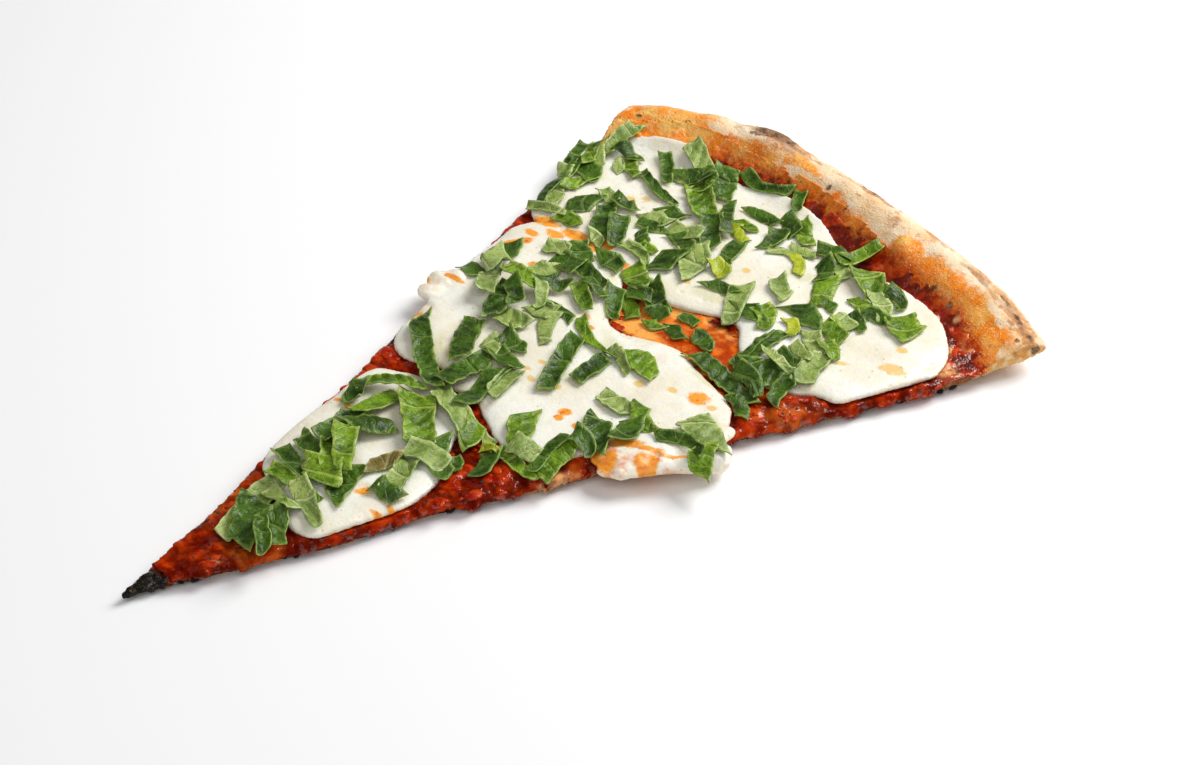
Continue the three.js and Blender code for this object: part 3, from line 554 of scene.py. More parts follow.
write_masks(
    dough,
    red=on_top * (1 - ease(-3.5, 3.5, from_red)),
    char=np.maximum.reduce([0.9 * leopard, burnt_point(at, radius), hem]),
    scar=ease(-0.3, 0, facing[:, 2]) * near_spots(at, SCARS, 0.3),
    toast=np.maximum(toast, 0.75 * below * browned),
    stain=stain,
    near_sauce=on_top * (1 - ease(-1, 5, from_red - rusty_to)),
    soaked=np.maximum.reduce([on_right_cut, farther, (1 - ease(14, 20, radius)) * (1 - below)]),
    crumb=on_cut,
    # painted shade in the crumb's holes on the cuts and in the cracks of the rim
    hollow=np.maximum(on_cut * crumb_holes, on_top * rim * cracked * 0.7),
    below=below,
)
thinned(dough)
print("dough: thinned to", len(dough.data.polygons), "faces")

# %% [markdown]
# Baked dough is matt and slightly translucent. Its colour comes in layers, as in the oven: pale floury
# dough, toasted gold, the orange stain of the sauce and black char over everything. The cracks and the
# crumb's holes are darkened to brown as painted shade. A noise that is stretched along the arc gives the
# faint streaks of a rim that was pressed out by hand.

# %% Finish of the dough
def stain_colour(finish):
    """Orange that turns to rust near the sauce, the same on dough and sauce, so that they run together."""
    orange = finish.patched("#fe8c18", "#ffcc6c", 7, 0.34, 0.74, 1, 4, 0.6)
    orange = finish.patched(orange, "#ffdc9c", 2.4, 0.52, 0.7, 0.55, 4)
    rust = finish.patched("#dc540a", "#f89028", 5, 0.3, 0.72, 1, 4, 0.6)
    both = finish.blend(finish.mask("near_sauce"), orange, rust)
    both = finish.patched(both, "#b84006", 1.5, 0.55, 0.68, 0.6, 4, 0.75)
    both = finish.patched(both, "#c24a08", 0.5, 0.56, 0.7, 0.5, 2)
    return finish.patched(both, "#ffd490", 0.6, 0.6, 0.72, 0.45, 2)


def tomato_red(finish, dark="#860e00", bright="#c43c08"):
    """The red of cooked sauce, darker in patches."""
    return finish.patched(dark, bright, 3.0, 0.32, 0.68, 1, 4, 0.6)


def wet_film(finish, where):
    """A clear wet film in patches: none where `where` is 0, about a third at 0.5 and nearly all at 1."""
    film = finish.between(finish.maths("ADD", finish.clouds(1.8, 3), where), 1.02, 1.1)
    finish.drive("Coat Weight", film)
    finish.set(Coat_Roughness=0.08)


baked = Finish("baked_dough", 0.75)
grain = baked.clouds(1.1, 4, 0.7)
skin = baked.patched("#f0c68e", "#f9dfba", 11, 0.35, 0.65)
skin = baked.blend(baked.between(grain, 0.5, 0.75, 0, 0.5), skin, "#fdf6ea")
skin = baked.patched(skin, "#e8a45c", 5, 0.5, 0.72, 0.5, 4)
toasted = baked.patched("#d88e40", "#9c5c2c", 0.9, 0.42, 0.62, 1, 4, 0.7)
skin = baked.blend(baked.ragged("toast", 1.8, 2.6, 0.35), skin, toasted, 0.75)
skin = baked.patched(skin, "#c8823c", 0.8, 0.62, 0.72, 0.5)
streaks = baked.between(baked.clouds(3, 4, 0.6, (0.25, 1.6, 1.6)), 0.45, 0.7, 0, 0.45)
skin = baked.blend(streaks, skin, "#f7ead6")
skin = baked.blend(baked.mask("below"), skin, "#d9a469", 0.55)
skin = baked.blend(baked.mask("crumb"), skin, baked.patched("#eca656", "#fcdba2", 2.2, 0.4, 0.65))
stained = baked.ragged("stain", 1.4, 1.8, 0.36)
reddened = baked.ragged("red", 2.0, 1.6, 0.35)
skin = baked.blend(stained, skin, stain_colour(baked))
skin = baked.blend(reddened, skin, tomato_red(baked, "#a0220a", "#d65412"))
# Painted shade: the crumb's holes and the cracks are darkened to brown
skin = baked.blend(baked.mask("hollow"), skin, "#7c4520", 0.6)
soaked = baked.blend(baked.between(grain, 0.4, 0.6), "#4e1204", "#a8380f")
skin = baked.blend(baked.mask("soaked"), skin, soaked)
scar = baked.patched("#4e3420", "#9a7254", 1.3, 0.4, 0.6, 1, 4)
skin = baked.blend(baked.ragged("scar", 1.1, 2.2, 0.3), skin, scar, 0.9)
black = baked.patched("#0e0a05", "#4a3c22", 0.7, 0.52, 0.66)
baked.drive("Base Color", baked.blend(baked.ragged("char", 1.6, 1.6), skin, black))
greasy = baked.maths("MAXIMUM", stained, reddened)
baked.drive("Roughness", baked.between(greasy, 0, 1, 0.75, 0.36))
baked.drive("Specular IOR Level", baked.between(greasy, 0, 1, 0.3, 0.1))
wet_film(baked, baked.times(greasy, 0.5))
baked.set(Subsurface_Weight=0.08, Subsurface_Scale=0.004, Subsurface_Radius=(1.0, 0.5, 0.25))
baked.relief(baked.maths("ADD", grain, baked.clouds(0.45, 3)), 0.32)
dress(dough, "crust", "dough", baked)

# %% [markdown]
# ## The cheese
#
# Fresh mozzarella melts into thick, smooth pools with a rounded lip. The pools are rounded, remeshed and
# then moved a little: slow swells on top, a wavy lip that reaches down to the sauce, and tighter lumps
# where cheese has spilt over a cut and set again. Oil carries colour from the tomatoes and gathers in
# orange, yellow and yellow-green spots, and it covers the spilt cheese. Each has a set place, so the masks
# are written from lists.

# %% Spots on the cheese
ORANGE_SPOTS = [
    [-47, 158.4, 9, 4, 10], [-38, 159.4, 8, 3.4, 0], [-29, 160.4, 8, 3.6, 5], [-20, 160, 8, 3.4, -10],
    [35, 112.8, 10, 4.4, 50], [45, 111, 9, 6, -40], [42, 115.6, 7, 2.4, 30], [47, 118, 8, 1.6, 45],
    [34, 103.6, 9, 6, -60], [37.4, 106, 7, 6, -40], [-46.6, 119, 3, 2, 70], [34, 137, 6, 5, 30],
    [17.4, 110.2, 4, 2.6, 40], [23.4, 108.8, 3.4, 2.4, 0], [18, 107.7, 2.6, 2, 0], [-41, 156, 6, 4, 0],
    [-45, 152, 5, 3, 0], [-44, 147, 9, 3, 60], [-33.5, 143.4, 3.4, 3, 0], [-34, 158.6, 5, 3, 0],
    [-36, 161, 5, 3, 0], [-29, 163, 6, 3, 0], [-24, 161, 5, 3, 0], [-41.4, 124.5, 6, 1.6, 15],
    [-37.4, 109, 4, 2.4, 60], [-17, 73.4, 3, 2, 0], [-21, 73.4, 3, 2, 0], [10.2, 57.3, 4.4, 3, 60],
    [19.2, 58.6, 4, 1.6, 0], [-8, 138.4, 3, 2.4, 0], [-4, 136.4, 3, 2, 0], [9.8, 174.8, 2.6, 2, 0],
    [19, 55.3, 6, 1.8, 20],
]
YELLOW_SPOTS = [
    [20.6, 130.4, 3.4, 2.6, 0], [27.6, 134.8, 3, 2.4, 0], [38.6, 136.8, 3, 2.4, 0], [-0.6, 118.4, 3, 2, 0],
    [2.8, 112.4, 3, 2, 0], [-1.2, 114.4, 2.6, 2, 0], [-17, 104.4, 3, 2.4, 0], [9.2, 115, 2.6, 2, 0],
    [2.8, 181.4, 3, 2.4, 0], [-3.2, 167, 3, 2.2, 0], [-37.6, 184.4, 3, 2.2, 0], [-40.2, 181.4, 3, 2.2, 0],
    [56, 179.2, 7.4, 5, 20], [52, 186.4, 4, 3, 0], [46, 172, 4, 2, 30], [24, 184, 4, 2, 0],
]
GREEN_SPOTS = [
    [5, 167.2, 9, 5, 10], [13, 189.4, 8, 5, 0], [-31, 176.4, 7, 5, 30], [-18, 156.4, 9, 5, 0],
    [-46, 207, 9, 4, -10], [28, 143.6, 10, 4, 0], [-10, 190, 8, 5, 0], [-22, 104, 10, 5, -30],
    [-2, 62, 10, 5, 0], [4, 136, 9, 5, -20],
]
OILED_SPILL = [[37, 106, 16, 12, 45], [46, 112, 12, 8, 45]]
THIN_SPOTS = [
    [36, 104, 14, 9, -30], [-38, 110, 10, 8, 60], [-45, 118, 8, 8, 0], [-14, 99, 7, 4, 0],
    [-1, 97, 9, 6, 0], [10, 57.4, 5, 4, 0], [-30, 160, 26, 4, -5], [62, 190, 7, 10, 0],
    [20, 46.4, 8, 4, 20], [0, 143.4, 12, 4, -20], [26, 146.6, 14, 3, -10], [30, 155.8, 14, 3, -20],
]
print(len(ORANGE_SPOTS) + len(YELLOW_SPOTS) + len(GREEN_SPOTS), "spots,", len(THIN_SPOTS), "thin places")


# %% Shape of the cheese
def cheese_pool(node, name):
    """Turns a plain pool into a smooth one with a wavy lip."""
    pool = copy_of(node, name)
    evenly_meshed(pool, SOFT_MESH, 12, levels=1)
    at, facing = points_of(pool), normals_of(pool)
    top = ease(0.3, 0.8, facing[:, 2])
    side = 1 - ease(0.25, 0.7, np.abs(facing[:, 2]))
    spilt = ease(0, 4, at @ RIGHT_OUT + 1.5) * ease(100, 108, at[:, 1])
    curds = ease(0, 5, at @ LEFT_OUT + 6) * ease(108, 114, at[:, 1])
    curds *= 1 - ease(128, 134, at[:, 1])
    lift = top * (0.3 * bumps(at, 15, 20) + 0.16 * bumps(at, 6.5, 21) + 0.04 * bumps(at, 2.6, 22))
    lift += side * (0.7 * bumps(at, 7, 23) + 0.22 * bumps(at, 2.8, 24))
    lift += spilt * (0.6 * bumps(at, 3.4, 25) + 0.35 * np.abs(bumps(at, 1.7, 26)))
    lift += curds * (0.25 * bumps(at, 2.6, 25) + 0.3 * np.abs(bumps(at, 1.4, 26)))
    thin = near_spots(at, THIN_SPOTS, 0.5, 27)
    lift -= 0.45 * top * thin
    holes = np.maximum(0, bumps(at, 1.6, 28) - 0.62) * 1.4
    lift -= top * holes
    lip = 1 - ease(0.05, 0.55, facing[:, 2])
    at += facing * lift[:, None]
    at[:, 2] -= 0.4 * (1 - ease(-0.3, 0.5, facing[:, 2])) * (1 - spilt)
    seam = ease(-58, -48, at[:, 0]) * (1 - ease(-18, -10, at[:, 0]))
    if name == "mozzarella_middle":
        at[:, 1] += 2.2 * seam * ease(151, 158, at[:, 1])
    if name == "mozzarella_rim":
        at[:, 1] -= 2.2 * seam * (1 - ease(161, 168, at[:, 1]))
    move_points(pool, at)
    write_masks(
        pool,
        orange=near_spots(at, ORANGE_SPOTS, 0.3, 30),
        yellow=near_spots(at, YELLOW_SPOTS, 0.3, 31),
        green=near_spots(at, GREEN_SPOTS, 0.7, 32),
        thin=np.maximum(thin, 0.8 * lip),
        spilt=near_spots(at, OILED_SPILL, 0.4, 33),
    )
    return pool


# %% [markdown]
# Melted mozzarella is ivory, shiny and lets light in a few millimetres deep, so it glows at its lips.
# Subsurface scattering does that. Where the pool is thin, the sauce shows through as a warm tint.

# %% Finish of the cheese
melted = Finish("melted_mozzarella", 0.34)
ivory = melted.patched("#efe6d0", "#faf5e8", 16, 0.35, 0.65)
ivory = melted.patched(ivory, "#eadfbd", 4.5, 0.5, 0.8, 0.4, 4)
ivory = melted.blend(melted.mask("green"), ivory, "#d3cf98", 0.5)
ivory = melted.blend(melted.mask("thin"), ivory, "#efc48c", 0.35)
ivory = melted.blend(melted.ragged("yellow", 1.4, 2.0, 0.4), ivory, "#ecbc48", 0.75)
drop = melted.ragged("orange", 1.6, 2.4, 0.4)
ivory = melted.blend(melted.between(melted.mask("orange"), 0, 0.8, 0, 0.6), ivory, "#fac468")
ivory = melted.blend(drop, ivory, "#fb9c12", 0.92)
dark_drop = melted.times(drop, melted.between(melted.clouds(1.3, 3), 0.54, 0.7))
ivory = melted.blend(dark_drop, ivory, "#d05a04", 0.75)
oiled = melted.times(melted.mask("spilt"), melted.between(melted.clouds(2.6, 4, 0.65), 0.44, 0.64))
ivory = melted.blend(oiled, ivory, "#ea8434", 0.85)
specks = melted.between(melted.cells(3.4), 0.05, 0.11, 0.55, 0.0)
melted.drive("Base Color", melted.blend(specks, ivory, "#b98d57"))
melted.drive("Roughness", melted.between(melted.clouds(5, 3), 0.35, 0.7, 0.26, 0.46))
melted.drive("Subsurface Weight", melted.between(drop, 0, 0.8, 0.35, 0.05))
melted.set(Subsurface_Scale=0.0022, Subsurface_Radius=(1.0, 0.72, 0.42))
melted.set(Specular_IOR_Level=0.45, Coat_Weight=0.12, Coat_Roughness=0.22)
melted.relief(melted.maths("ADD", melted.clouds(2.4, 3), melted.times(melted.clouds(0.7, 2), 0.4)), 0.22)

pools = []
for node in ("cheese_tip", "cheese_middle", "cheese_rim"):
    pools.append(cheese_pool(node, node.replace("cheese", "mozzarella")))
    dress(pools[-1], node, "cheese", melted)

# %% [markdown]
# ## The sauce
#
# Crushed tomato dries on top in the oven and stays wet underneath, so it is lumpy. Its hollows are painted
# nearly black red as painted shade, and it is orange where oil has gathered and, as painted highlight, on
# the tops of the lumps. Along the right-hand cut it has run down over the dough. The lumps are only raised
# where no cheese lies on the sauce, which a ray straight up from each point finds out.

# %% What lies over a point
RAY_START = 0.00005  # metres above its point, so that a ray doesn't meet its own surface


def tree_of(pieces):
    """One search tree over several pieces, for finding what a ray meets."""
    corners, faces = [], []
    for piece in pieces:
        start = len(corners)
        corners.extend(v.co.copy() for v in piece.data.vertices)
        faces.extend([start + i for i in face.vertices] for face in piece.data.polygons)
    return BVHTree.FromPolygons(corners, faces)


def covered(at, tree, reach=8.0):
    """1 for each point that has something within `reach` millimetres above it."""
    up = Vector((0, 0, 1))
    met = [tree.ray_cast(place(*p) + up * RAY_START, up, reach * MM)[0] for p in at]
    return np.array([hit is not None for hit in met], float)


# %% Shape of the sauce
sauce = copy_of("sauce", "tomato_sauce")
evenly_meshed(sauce, SOFT_MESH, 3, levels=1)
at, facing = points_of(sauce), normals_of(sauce)
bare = 1 - covered(at, tree_of(pools))
radius = np.hypot(at[:, 0], at[:, 1])
up = ease(0.1, 0.6, facing[:, 2])
hanging = ease(0.3, 0.8, facing @ RIGHT_OUT) * (1 - ease(2.0, 4.5, -at @ RIGHT_OUT))
lumpy = 1.2 * np.maximum(0, bumps(at, 5.4, 40)) + 0.55 * np.maximum(0, bumps(at, 2.8, 41))
lumpy = lumpy * (1 - 0.35 * (1 - ease(40, 80, radius))) - 0.3
lumpy += (0.08 + 0.12 * (1 - ease(70, 120, radius))) * bumps(at, 1.3, 42)
near_rim = ease(188, 200, radius)
share = across_slice(at)
to_end = radius - radius_at(share, SAUCE_ENDS)
BULGES = [
    [47, 152, 9, 1.2], [53, 149, 6, 1.0], [50.6, 158, 6, 0.9], [44, 147, 6, 0.7], [57, 165, 6, 0.8],
    [62, 181, 7, 1.2], [60, 173, 5, 0.7], [57, 204.6, 5, 0.8], [62, 203, 5, 0.8], [48, 208.6, 5, 0.7],
    [35, 209.4, 5, 0.6], [66, 199, 5, 0.8], [22, 34, 6, 0.8], [15, 30, 5, 0.7], [27, 76, 7, 0.9],
    [22, 86, 6, 0.8], [17, 38, 5, 0.6],
]
LAKE = [[10, 153, 50, 22, 8]]
lake = near_spots(at, LAKE, 0.3, 51)
calm = (1 - 0.75 * lake) * (1 - 0.8 * ease(-6, -1, to_end))
lift = bare * up * (0.25 + lumpy * (1 - 0.2 * near_rim)) * calm
for x, y, width, height in BULGES:
    lift += bare * height * hill(at, x, y, width, 1.4)
lift += hanging * (0.1 + 1.7 * np.maximum(0, bumps(at, 5.2, 43)) + 0.35 * np.abs(bumps(at, 1.9, 44)))
lift *= ease(9, 16, radius)
at += facing * lift[:, None]
low = hanging * (1 - ease(1.5, 3.2, at[:, 2]))
ragged = 2.0 * bumps(at, 5, 53) + 0.8 * bumps(at, 2, 54)
at[:, 2] -= 1.9 * ease(-7, -0.5, to_end + ragged) * up
at[:, 2] -= 1.5 * (1 - ease(8, 18, radius + ragged)) * up
at[:, 0] = broad_tip(at)
at[:, 2] -= low * 1.3 * np.maximum(0, bumps(at * (1, 1, 0), 5, 45) + 0.25)
at[:, 2] = np.maximum(at[:, 2], 0.15)
move_points(sauce, at)
print("sauce:", len(at), "points,", round(100 * bare.mean()), "% of them bare")

# %% Where the sauce is oily, thin or burnt, and where shade and highlights are painted
OILY = [
    [12, 153, 36, 16, 8], [-32, 159, 26, 4, -5], [55, 148, 16, 20, 70], [30, 97, 14, 6, 20],
    [44, 108, 12, 6, 40], [8, 28, 14, 12, 60], [-8, 28, 12, 8, 100], [-9.5, 33, 24, 4, 109],
    [-26, 75, 5, 22, 0], [-38, 110, 10, 10, 0], [58.8, 201.3, 6, 3, -30],
]
# Pale patches. Those by the rim at the right-hand corner are partly a pale film on the sauce and partly
# painted highlight.
PALE = [
    [30, 94, 16, 6, 25], [38, 101, 12, 6, 50], [6.6, 20, 3, 2, 0], [51, 206, 2, 3, 0],
    [58.8, 201.3, 5, 2.6, -30], [63.6, 191, 7, 6, 20], [57.1, 196, 4, 6, 0], [68, 189, 4, 4, 0],
    [50, 139, 4, 2.4, 40],
]
LAKE_END = [[18, 154, 30, 16, 10]]
WET_CORNER = [[60, 200, 28, 24, 0]]
wet = 0.5 + 0.5 * bumps(at, 7, 46)
from_red = past_red(at, radius, share)
at_hem = hanging * (1 - ease(0.5, 1.6, at[:, 2])) * ease(-0.1, 0.4, bumps(at, 5, 50))
write_masks(
    sauce,
    # oil in listed spots, and orange on the tops of the lumps as painted highlight
    oily=np.maximum(near_spots(at, OILY, 0.7, 47) * 0.9, ease(0.9, 1.5, wet + lumpy)),
    pale=near_spots(at, PALE, 0.8, 48),
    milky=lake,
    lake_end=near_spots(at, LAKE_END, 0.4, 58),
    wet=0.5 + 0.16 * near_rim + 0.2 * near_spots(at, WET_CORNER, 0.5, 59),
    fading=ease(-3.5, 3.5, from_red),
    near_sauce=1 - ease(-1, 5, from_red),
    burnt=np.maximum(burnt_point(at, radius), 0.9 * at_hem),
    # painted shade: nearly black red in the hollows between the lumps
    deep=ease(-0.1, 0.35, -lumpy),
)
thinned(sauce)
print("sauce: thinned to", len(sauce.data.polygons), "faces")

# %% [markdown]
# The finish goes from nearly black red in the hollows, which is painted shade, to orange on the lumps,
# which is partly oil and partly painted highlight. It is wet, so it keeps a low roughness with a clear coat
# in patches, and a fine grain makes the small white glints.

# %% Finish of the sauce
tomato = Finish("tomato_sauce", 0.3)
pulp = tomato.clouds(3.0, 4, 0.6)
red = tomato_red(tomato)
# Painted shade: the hollows darkened to nearly black red
red = tomato.blend(tomato.mask("deep"), red, "#460500", 0.8)
# Orange where oil lies, and on the tops of the lumps as painted highlight
oily = tomato.times(tomato.mask("oily"), tomato.between(tomato.clouds(4, 4), 0.35, 0.65, 0.1, 0.85))
red = tomato.blend(oily, red, "#d8641c")
# Pale patches, at the right-hand corner partly painted highlight
red = tomato.blend(tomato.times(tomato.mask("pale"), tomato.between(pulp, 0.35, 0.6)), red, "#e3a26a")
red = tomato.blend(tomato.ragged("fading", 2.0, 1.6, 0.35), red, stain_colour(tomato))
red = tomato.blend(tomato.between(tomato.cells(2.9), 0.05, 0.1, 0.7, 0.0), red, "#2c0a06")
red = tomato.patched(red, "#d8641c", 1.0, 0.66, 0.74, 0.4)
milky = tomato.patched("#ee7010", "#faac54", 7, 0.32, 0.55)
rusty = tomato.patched("#ac3004", "#e46c1a", 2.6, 0.4, 0.66, 1, 4)
milky = tomato.blend(tomato.ragged("lake_end", 3.4, 1.8, 0.5), milky, rusty, 0.95)
red = tomato.blend(tomato.ragged("milky", 3.0, 1.6, 0.35), red, milky)
tomato.drive("Base Color", tomato.blend(tomato.ragged("burnt", 1.6, 1.6), red, "#100b08"))
tomato.drive("Roughness", tomato.between(tomato.clouds(3, 4), 0.35, 0.65, 0.14, 0.3))
wet_film(tomato, tomato.mask("wet"))
tomato.set(Specular_IOR_Level=0.02, Subsurface_Weight=0.03, Subsurface_Scale=0.001)
tomato.set(Subsurface_Radius=(1.0, 0.25, 0.1))
tomato.relief(tomato.maths("ADD", pulp, tomato.times(tomato.clouds(0.9, 2), 0.45)), 0.5)
dress(sauce, "sauce", "sauce", tomato)

# %% [markdown]
# ## The basil
#
# The leaves were rolled up and cut into ribbons, so each shred is a strip with straight long edges that
# shows part of the leaf's veins: sometimes the midrib across it, more often the side veins as slanting
# stripes. The upper skin of the plain shred is kept, refined, quilted between the veins, and given its real
# thickness with Solidify. Its own UV map says where each point was in the leaf: u along the midrib and v
# away from it, in millimetres. The points next to a cut edge have a mask, and the leaf is painted paler there
# as painted highlight along its rim.

# %% Finish of the basil
VEIN_STEP = 3.4  # millimetres from one side vein to the next
VEIN_LEAN = 0.8  # how far a side vein runs along the leaf for each millimetre that it runs out
LEAF_THICKNESS, SMALL_LEAF_THICKNESS = 0.3, 0.28


def basil(name, base, light, vein, roughness, veined):
    """A leaf finish: base colour, lighter tone, colour of the veins and how much the veins show."""
    leaf = Finish(name, roughness)
    split = leaf.add("ShaderNodeSeparateXYZ", [leaf.add("ShaderNodeUVMap", uv_map="leaf").outputs[0]])
    along, out = split.outputs[0], leaf.maths("ABSOLUTE", split.outputs[1])
    slanted = leaf.maths("SUBTRACT", along, leaf.times(out, VEIN_LEAN))
    slanted = leaf.maths("ADD", slanted, leaf.between(leaf.clouds(3, 2), 0.3, 0.7, -0.5, 0.5))
    to_vein = leaf.maths("PINGPONG", slanted, VEIN_STEP / 2)
    side = leaf.times(leaf.between(to_vein, 0.06, 0.3, 0.8, 0.0), leaf.between(out, 4, 15, 1.0, 0.35))
    veins = leaf.maths("MAXIMUM", side, leaf.between(out, 0.2, 0.65, 1.0, 0.0))
    green = leaf.patched(base, light, 6, 0.38, 0.62)
    # Painted light and shade in stripes along the side veins of the quilted leaf: lighter near the veins,
    # darker on the bulges between them
    green = leaf.blend(leaf.between(to_vein, 0.2, VEIN_STEP / 2, 0.4, 0.0), green, light)
    green = leaf.patched(green, light, 1.6, 0.5, 0.7, 0.3)
    green = leaf.patched(green, base, 0.9, 0.5, 0.62, 0.5)
    net = leaf.between(leaf.cells(1.5, "DISTANCE_TO_EDGE"), 0.0, 0.09, 0.3 * veined, 0.0)
    green = leaf.blend(net, green, vein)
    # Painted highlight: the leaf is paler along its cut edges
    cut_edge = leaf.times(leaf.mask("border"), leaf.between(leaf.clouds(2.2, 2), 0.36, 0.6, 0.1, 0.9))
    green = leaf.blend(cut_edge, green, vein)
    leaf.drive("Base Color", leaf.blend(leaf.times(veins, veined), green, vein))
    leaf.relief(leaf.maths("SUBTRACT", leaf.clouds(1.3, 2), leaf.times(veins, 0.8)), 0.4)
    leaf.set(Subsurface_Weight=0.08, Subsurface_Scale=0.0006, Subsurface_Radius=(0.4, 1.0, 0.2))
    leaf.set(Specular_IOR_Level=0.28)
    return leaf


# The dark and bright tones are partly the leaves' own colour and partly painted shade and painted light, a
# shred's tone following how it lies in the light.
LEAVES = {
    "dark": basil("basil_dark", "#1c3305", "#4a6c18", "#90a852", 0.36, 0.3),
    "bright": basil("basil_bright", "#355604", "#789c1a", "#b8c864", 0.34, 0.45),
    "pale": basil("basil_pale", "#647e2e", "#a0b25e", "#d2dc9c", 0.42, 0.45),
    "lime": basil("basil_lime", "#8a9c12", "#bcc530", "#d8da78", 0.3, 0.3),
    "olive": basil("basil_olive", "#6a5a24", "#8c7a36", "#c9c08a", 0.5, 0.4),
}
leaf_back = basil("basil_back", "#66803e", "#8ea664", "#bccb94", 0.5, 0.4)
leaf_edge = Finish("basil_cut_edge", 0.5)
leaf_edge.drive("Base Color", leaf_edge.patched("#6c8c30", "#9cba50", 2, 0.4, 0.6, 1, 2))
print(len(LEAVES), "tones of basil, a back and a cut edge")


# %% The bed that the leaves lie on
ABOVE_ALL = 40  # higher than anything on the slice


def height_at(tree, x, y):
    """Height of what lies on the slice at a spot, in millimetres."""
    met = tree.ray_cast(place(x, y, ABOVE_ALL), Vector((0, 0, -1)))[0]
    return met.z / MM if met else 0.0


BED_LEFT, BED_BOTTOM, BED_WIDTH, BED_LENGTH = -90, -8, 181, 246
BED_OUTSIDE = 4.6  # its height where there is no slice
PRESSED = 0.65  # how much of its height above the bed a leaf keeps
bed_tree = tree_of([dough, sauce, *pools])
rows = range(BED_BOTTOM, BED_BOTTOM + BED_LENGTH)
columns = range(BED_LEFT, BED_LEFT + BED_WIDTH)
bed = np.array([[height_at(bed_tree, x, y) for x in columns] for y in rows])
bed[bed < 1] = BED_OUTSIDE
for _ in range(3):
    for axis in (0, 1):
        bed = (np.roll(bed, 1, axis) + 2 * bed + np.roll(bed, -1, axis)) / 4
print("bed of the leaves: highest", bed.max().round(1), "mm")


def bed_under(at):
    """Height of the softened bed below each point."""
    i, j = at[:, 0] - BED_LEFT, at[:, 1] - BED_BOTTOM
    left, bottom = np.floor(i).astype(int), np.floor(j).astype(int)
    a, b = i - left, j - bottom
    near = bed[bottom, left] * (1 - a) + bed[bottom, left + 1] * a
    far = bed[bottom + 1, left] * (1 - a) + bed[bottom + 1, left + 1] * a
    return near * (1 - b) + far * b


# %% Veins, map and border of a leaf
def quilted(along, out):
    """Height of the leaf between its veins, in millimetres."""
    slanted = along - VEIN_LEAN * np.abs(out)
    to_vein = VEIN_STEP / 2 - np.abs(slanted % VEIN_STEP - VEIN_STEP / 2)
    return 0.42 * np.sqrt(to_vein / (VEIN_STEP / 2)) * ease(0.1, 0.9, np.abs(out)) + 0.1


def write_leaf_map(piece, along, out):
    """Keeps each point's place in the leaf as a UV map."""
    uv = piece.data.uv_layers.new(name="leaf")
    corners = np.empty(len(piece.data.loops), np.int32)
    piece.data.loops.foreach_get("vertex_index", corners)
    uv.data.foreach_set("uv", np.stack([along[corners], out[corners]], 1).astype(np.float32).ravel())


def write_border(piece, fading=(1.0,)):
    """Marks the points on the outline of an open leaf, then the rows of points inside it, ever fainter."""
    corner_edges = np.array([corner.edge_index for corner in piece.data.loops])
    ends = np.array([edge.vertices[:] for edge in piece.data.edges])
    border = np.zeros(len(piece.data.vertices))
    border[ends[np.bincount(corner_edges, minlength=len(ends)) == 1].ravel()] = fading[0]
    for share in fading[1:]:
        inside = np.zeros(len(border))
        for a, b in (ends.T, ends.T[::-1]):
            np.maximum.at(inside, a, share * (border[b] > 0))
        border = np.maximum(border, inside)
    write_masks(piece, border=border)


def leaf_place(across_strip, along_strip, number):
    """Turns places on a strip into places on the leaf that it was cut from."""
    pick = np.random.default_rng(100 + number)
    turn = math.radians(pick.choice([90, 78, 65, 20]) + pick.uniform(-12, 12))
    out_shift = pick.uniform(-2, 12)
    along = along_strip * math.cos(turn) + across_strip * math.sin(turn) + pick.uniform(0, 20)
    out = -along_strip * math.sin(turn) + across_strip * math.cos(turn) + out_shift
    return along, out


# %% Shaping one shred
def leaf_from(node, number):
    """A thin, veined leaf in place of a plain shred."""
    leaf = copy_of(node, f"leaf_{number:02d}")
    for old in list(leaf.data.uv_layers):
        leaf.data.uv_layers.remove(old)
    bpy.ops.object.mode_set(mode="EDIT")
    bpy.ops.mesh.select_all(action="DESELECT")
    shape = bmesh.from_edit_mesh(leaf.data)
    for face in shape.faces:
        face.select = face.normal.z < 0.06
    bmesh.update_edit_mesh(leaf.data)
    bpy.ops.mesh.delete(type="FACE")
    bpy.ops.object.mode_set(mode="OBJECT")
    add_modifier(leaf, "SUBSURF", levels=3, render_levels=3, boundary_smooth="PRESERVE_CORNERS")
    at = points_of(leaf)
    middle = at.mean(0)
    spread = np.linalg.eigh(np.cov((at - middle)[:, :2].T))[1]
    along_strip, across_strip = (at - middle)[:, :2] @ spread[:, 1], (at - middle)[:, :2] @ spread[:, 0]
    along, out = leaf_place(across_strip, along_strip, number)
    half = np.abs(across_strip).max()
    edge = (np.abs(across_strip) / half) ** 2
    still = at.copy()
    ground = bed_under(at)
    at[:, 2] = ground + 0.3 + PRESSED * np.maximum(at[:, 2] - ground - 0.5, 0)
    at[:, 2] += quilted(along, out) - 0.2
    at[:, 2] += 0.4 * np.abs(bumps(still, 5, 60 + number)) + 0.2 * bumps(still, 2.2, number)
    arch = np.random.default_rng(number).uniform(-0.5, 1.1)
    at[:, 2] += arch * edge + 0.5 * edge * bumps(still, 6, 160 + number) + 0.4 * bumps(still, 9, 460 + number)
    at[:, 0] += 0.6 * bumps(still, 6, 260 + number) + 0.35 * bumps(still, 2.6, 560 + number)
    at[:, 1] += 0.6 * bumps(still, 6, 360 + number) + 0.35 * bumps(still, 2.6, 660 + number)
    move_points(leaf, at)
    write_leaf_map(leaf, along, out)
    write_border(leaf, (1.0, 0.7, 0.3))
    leaf.data.shade_smooth()
    return leaf


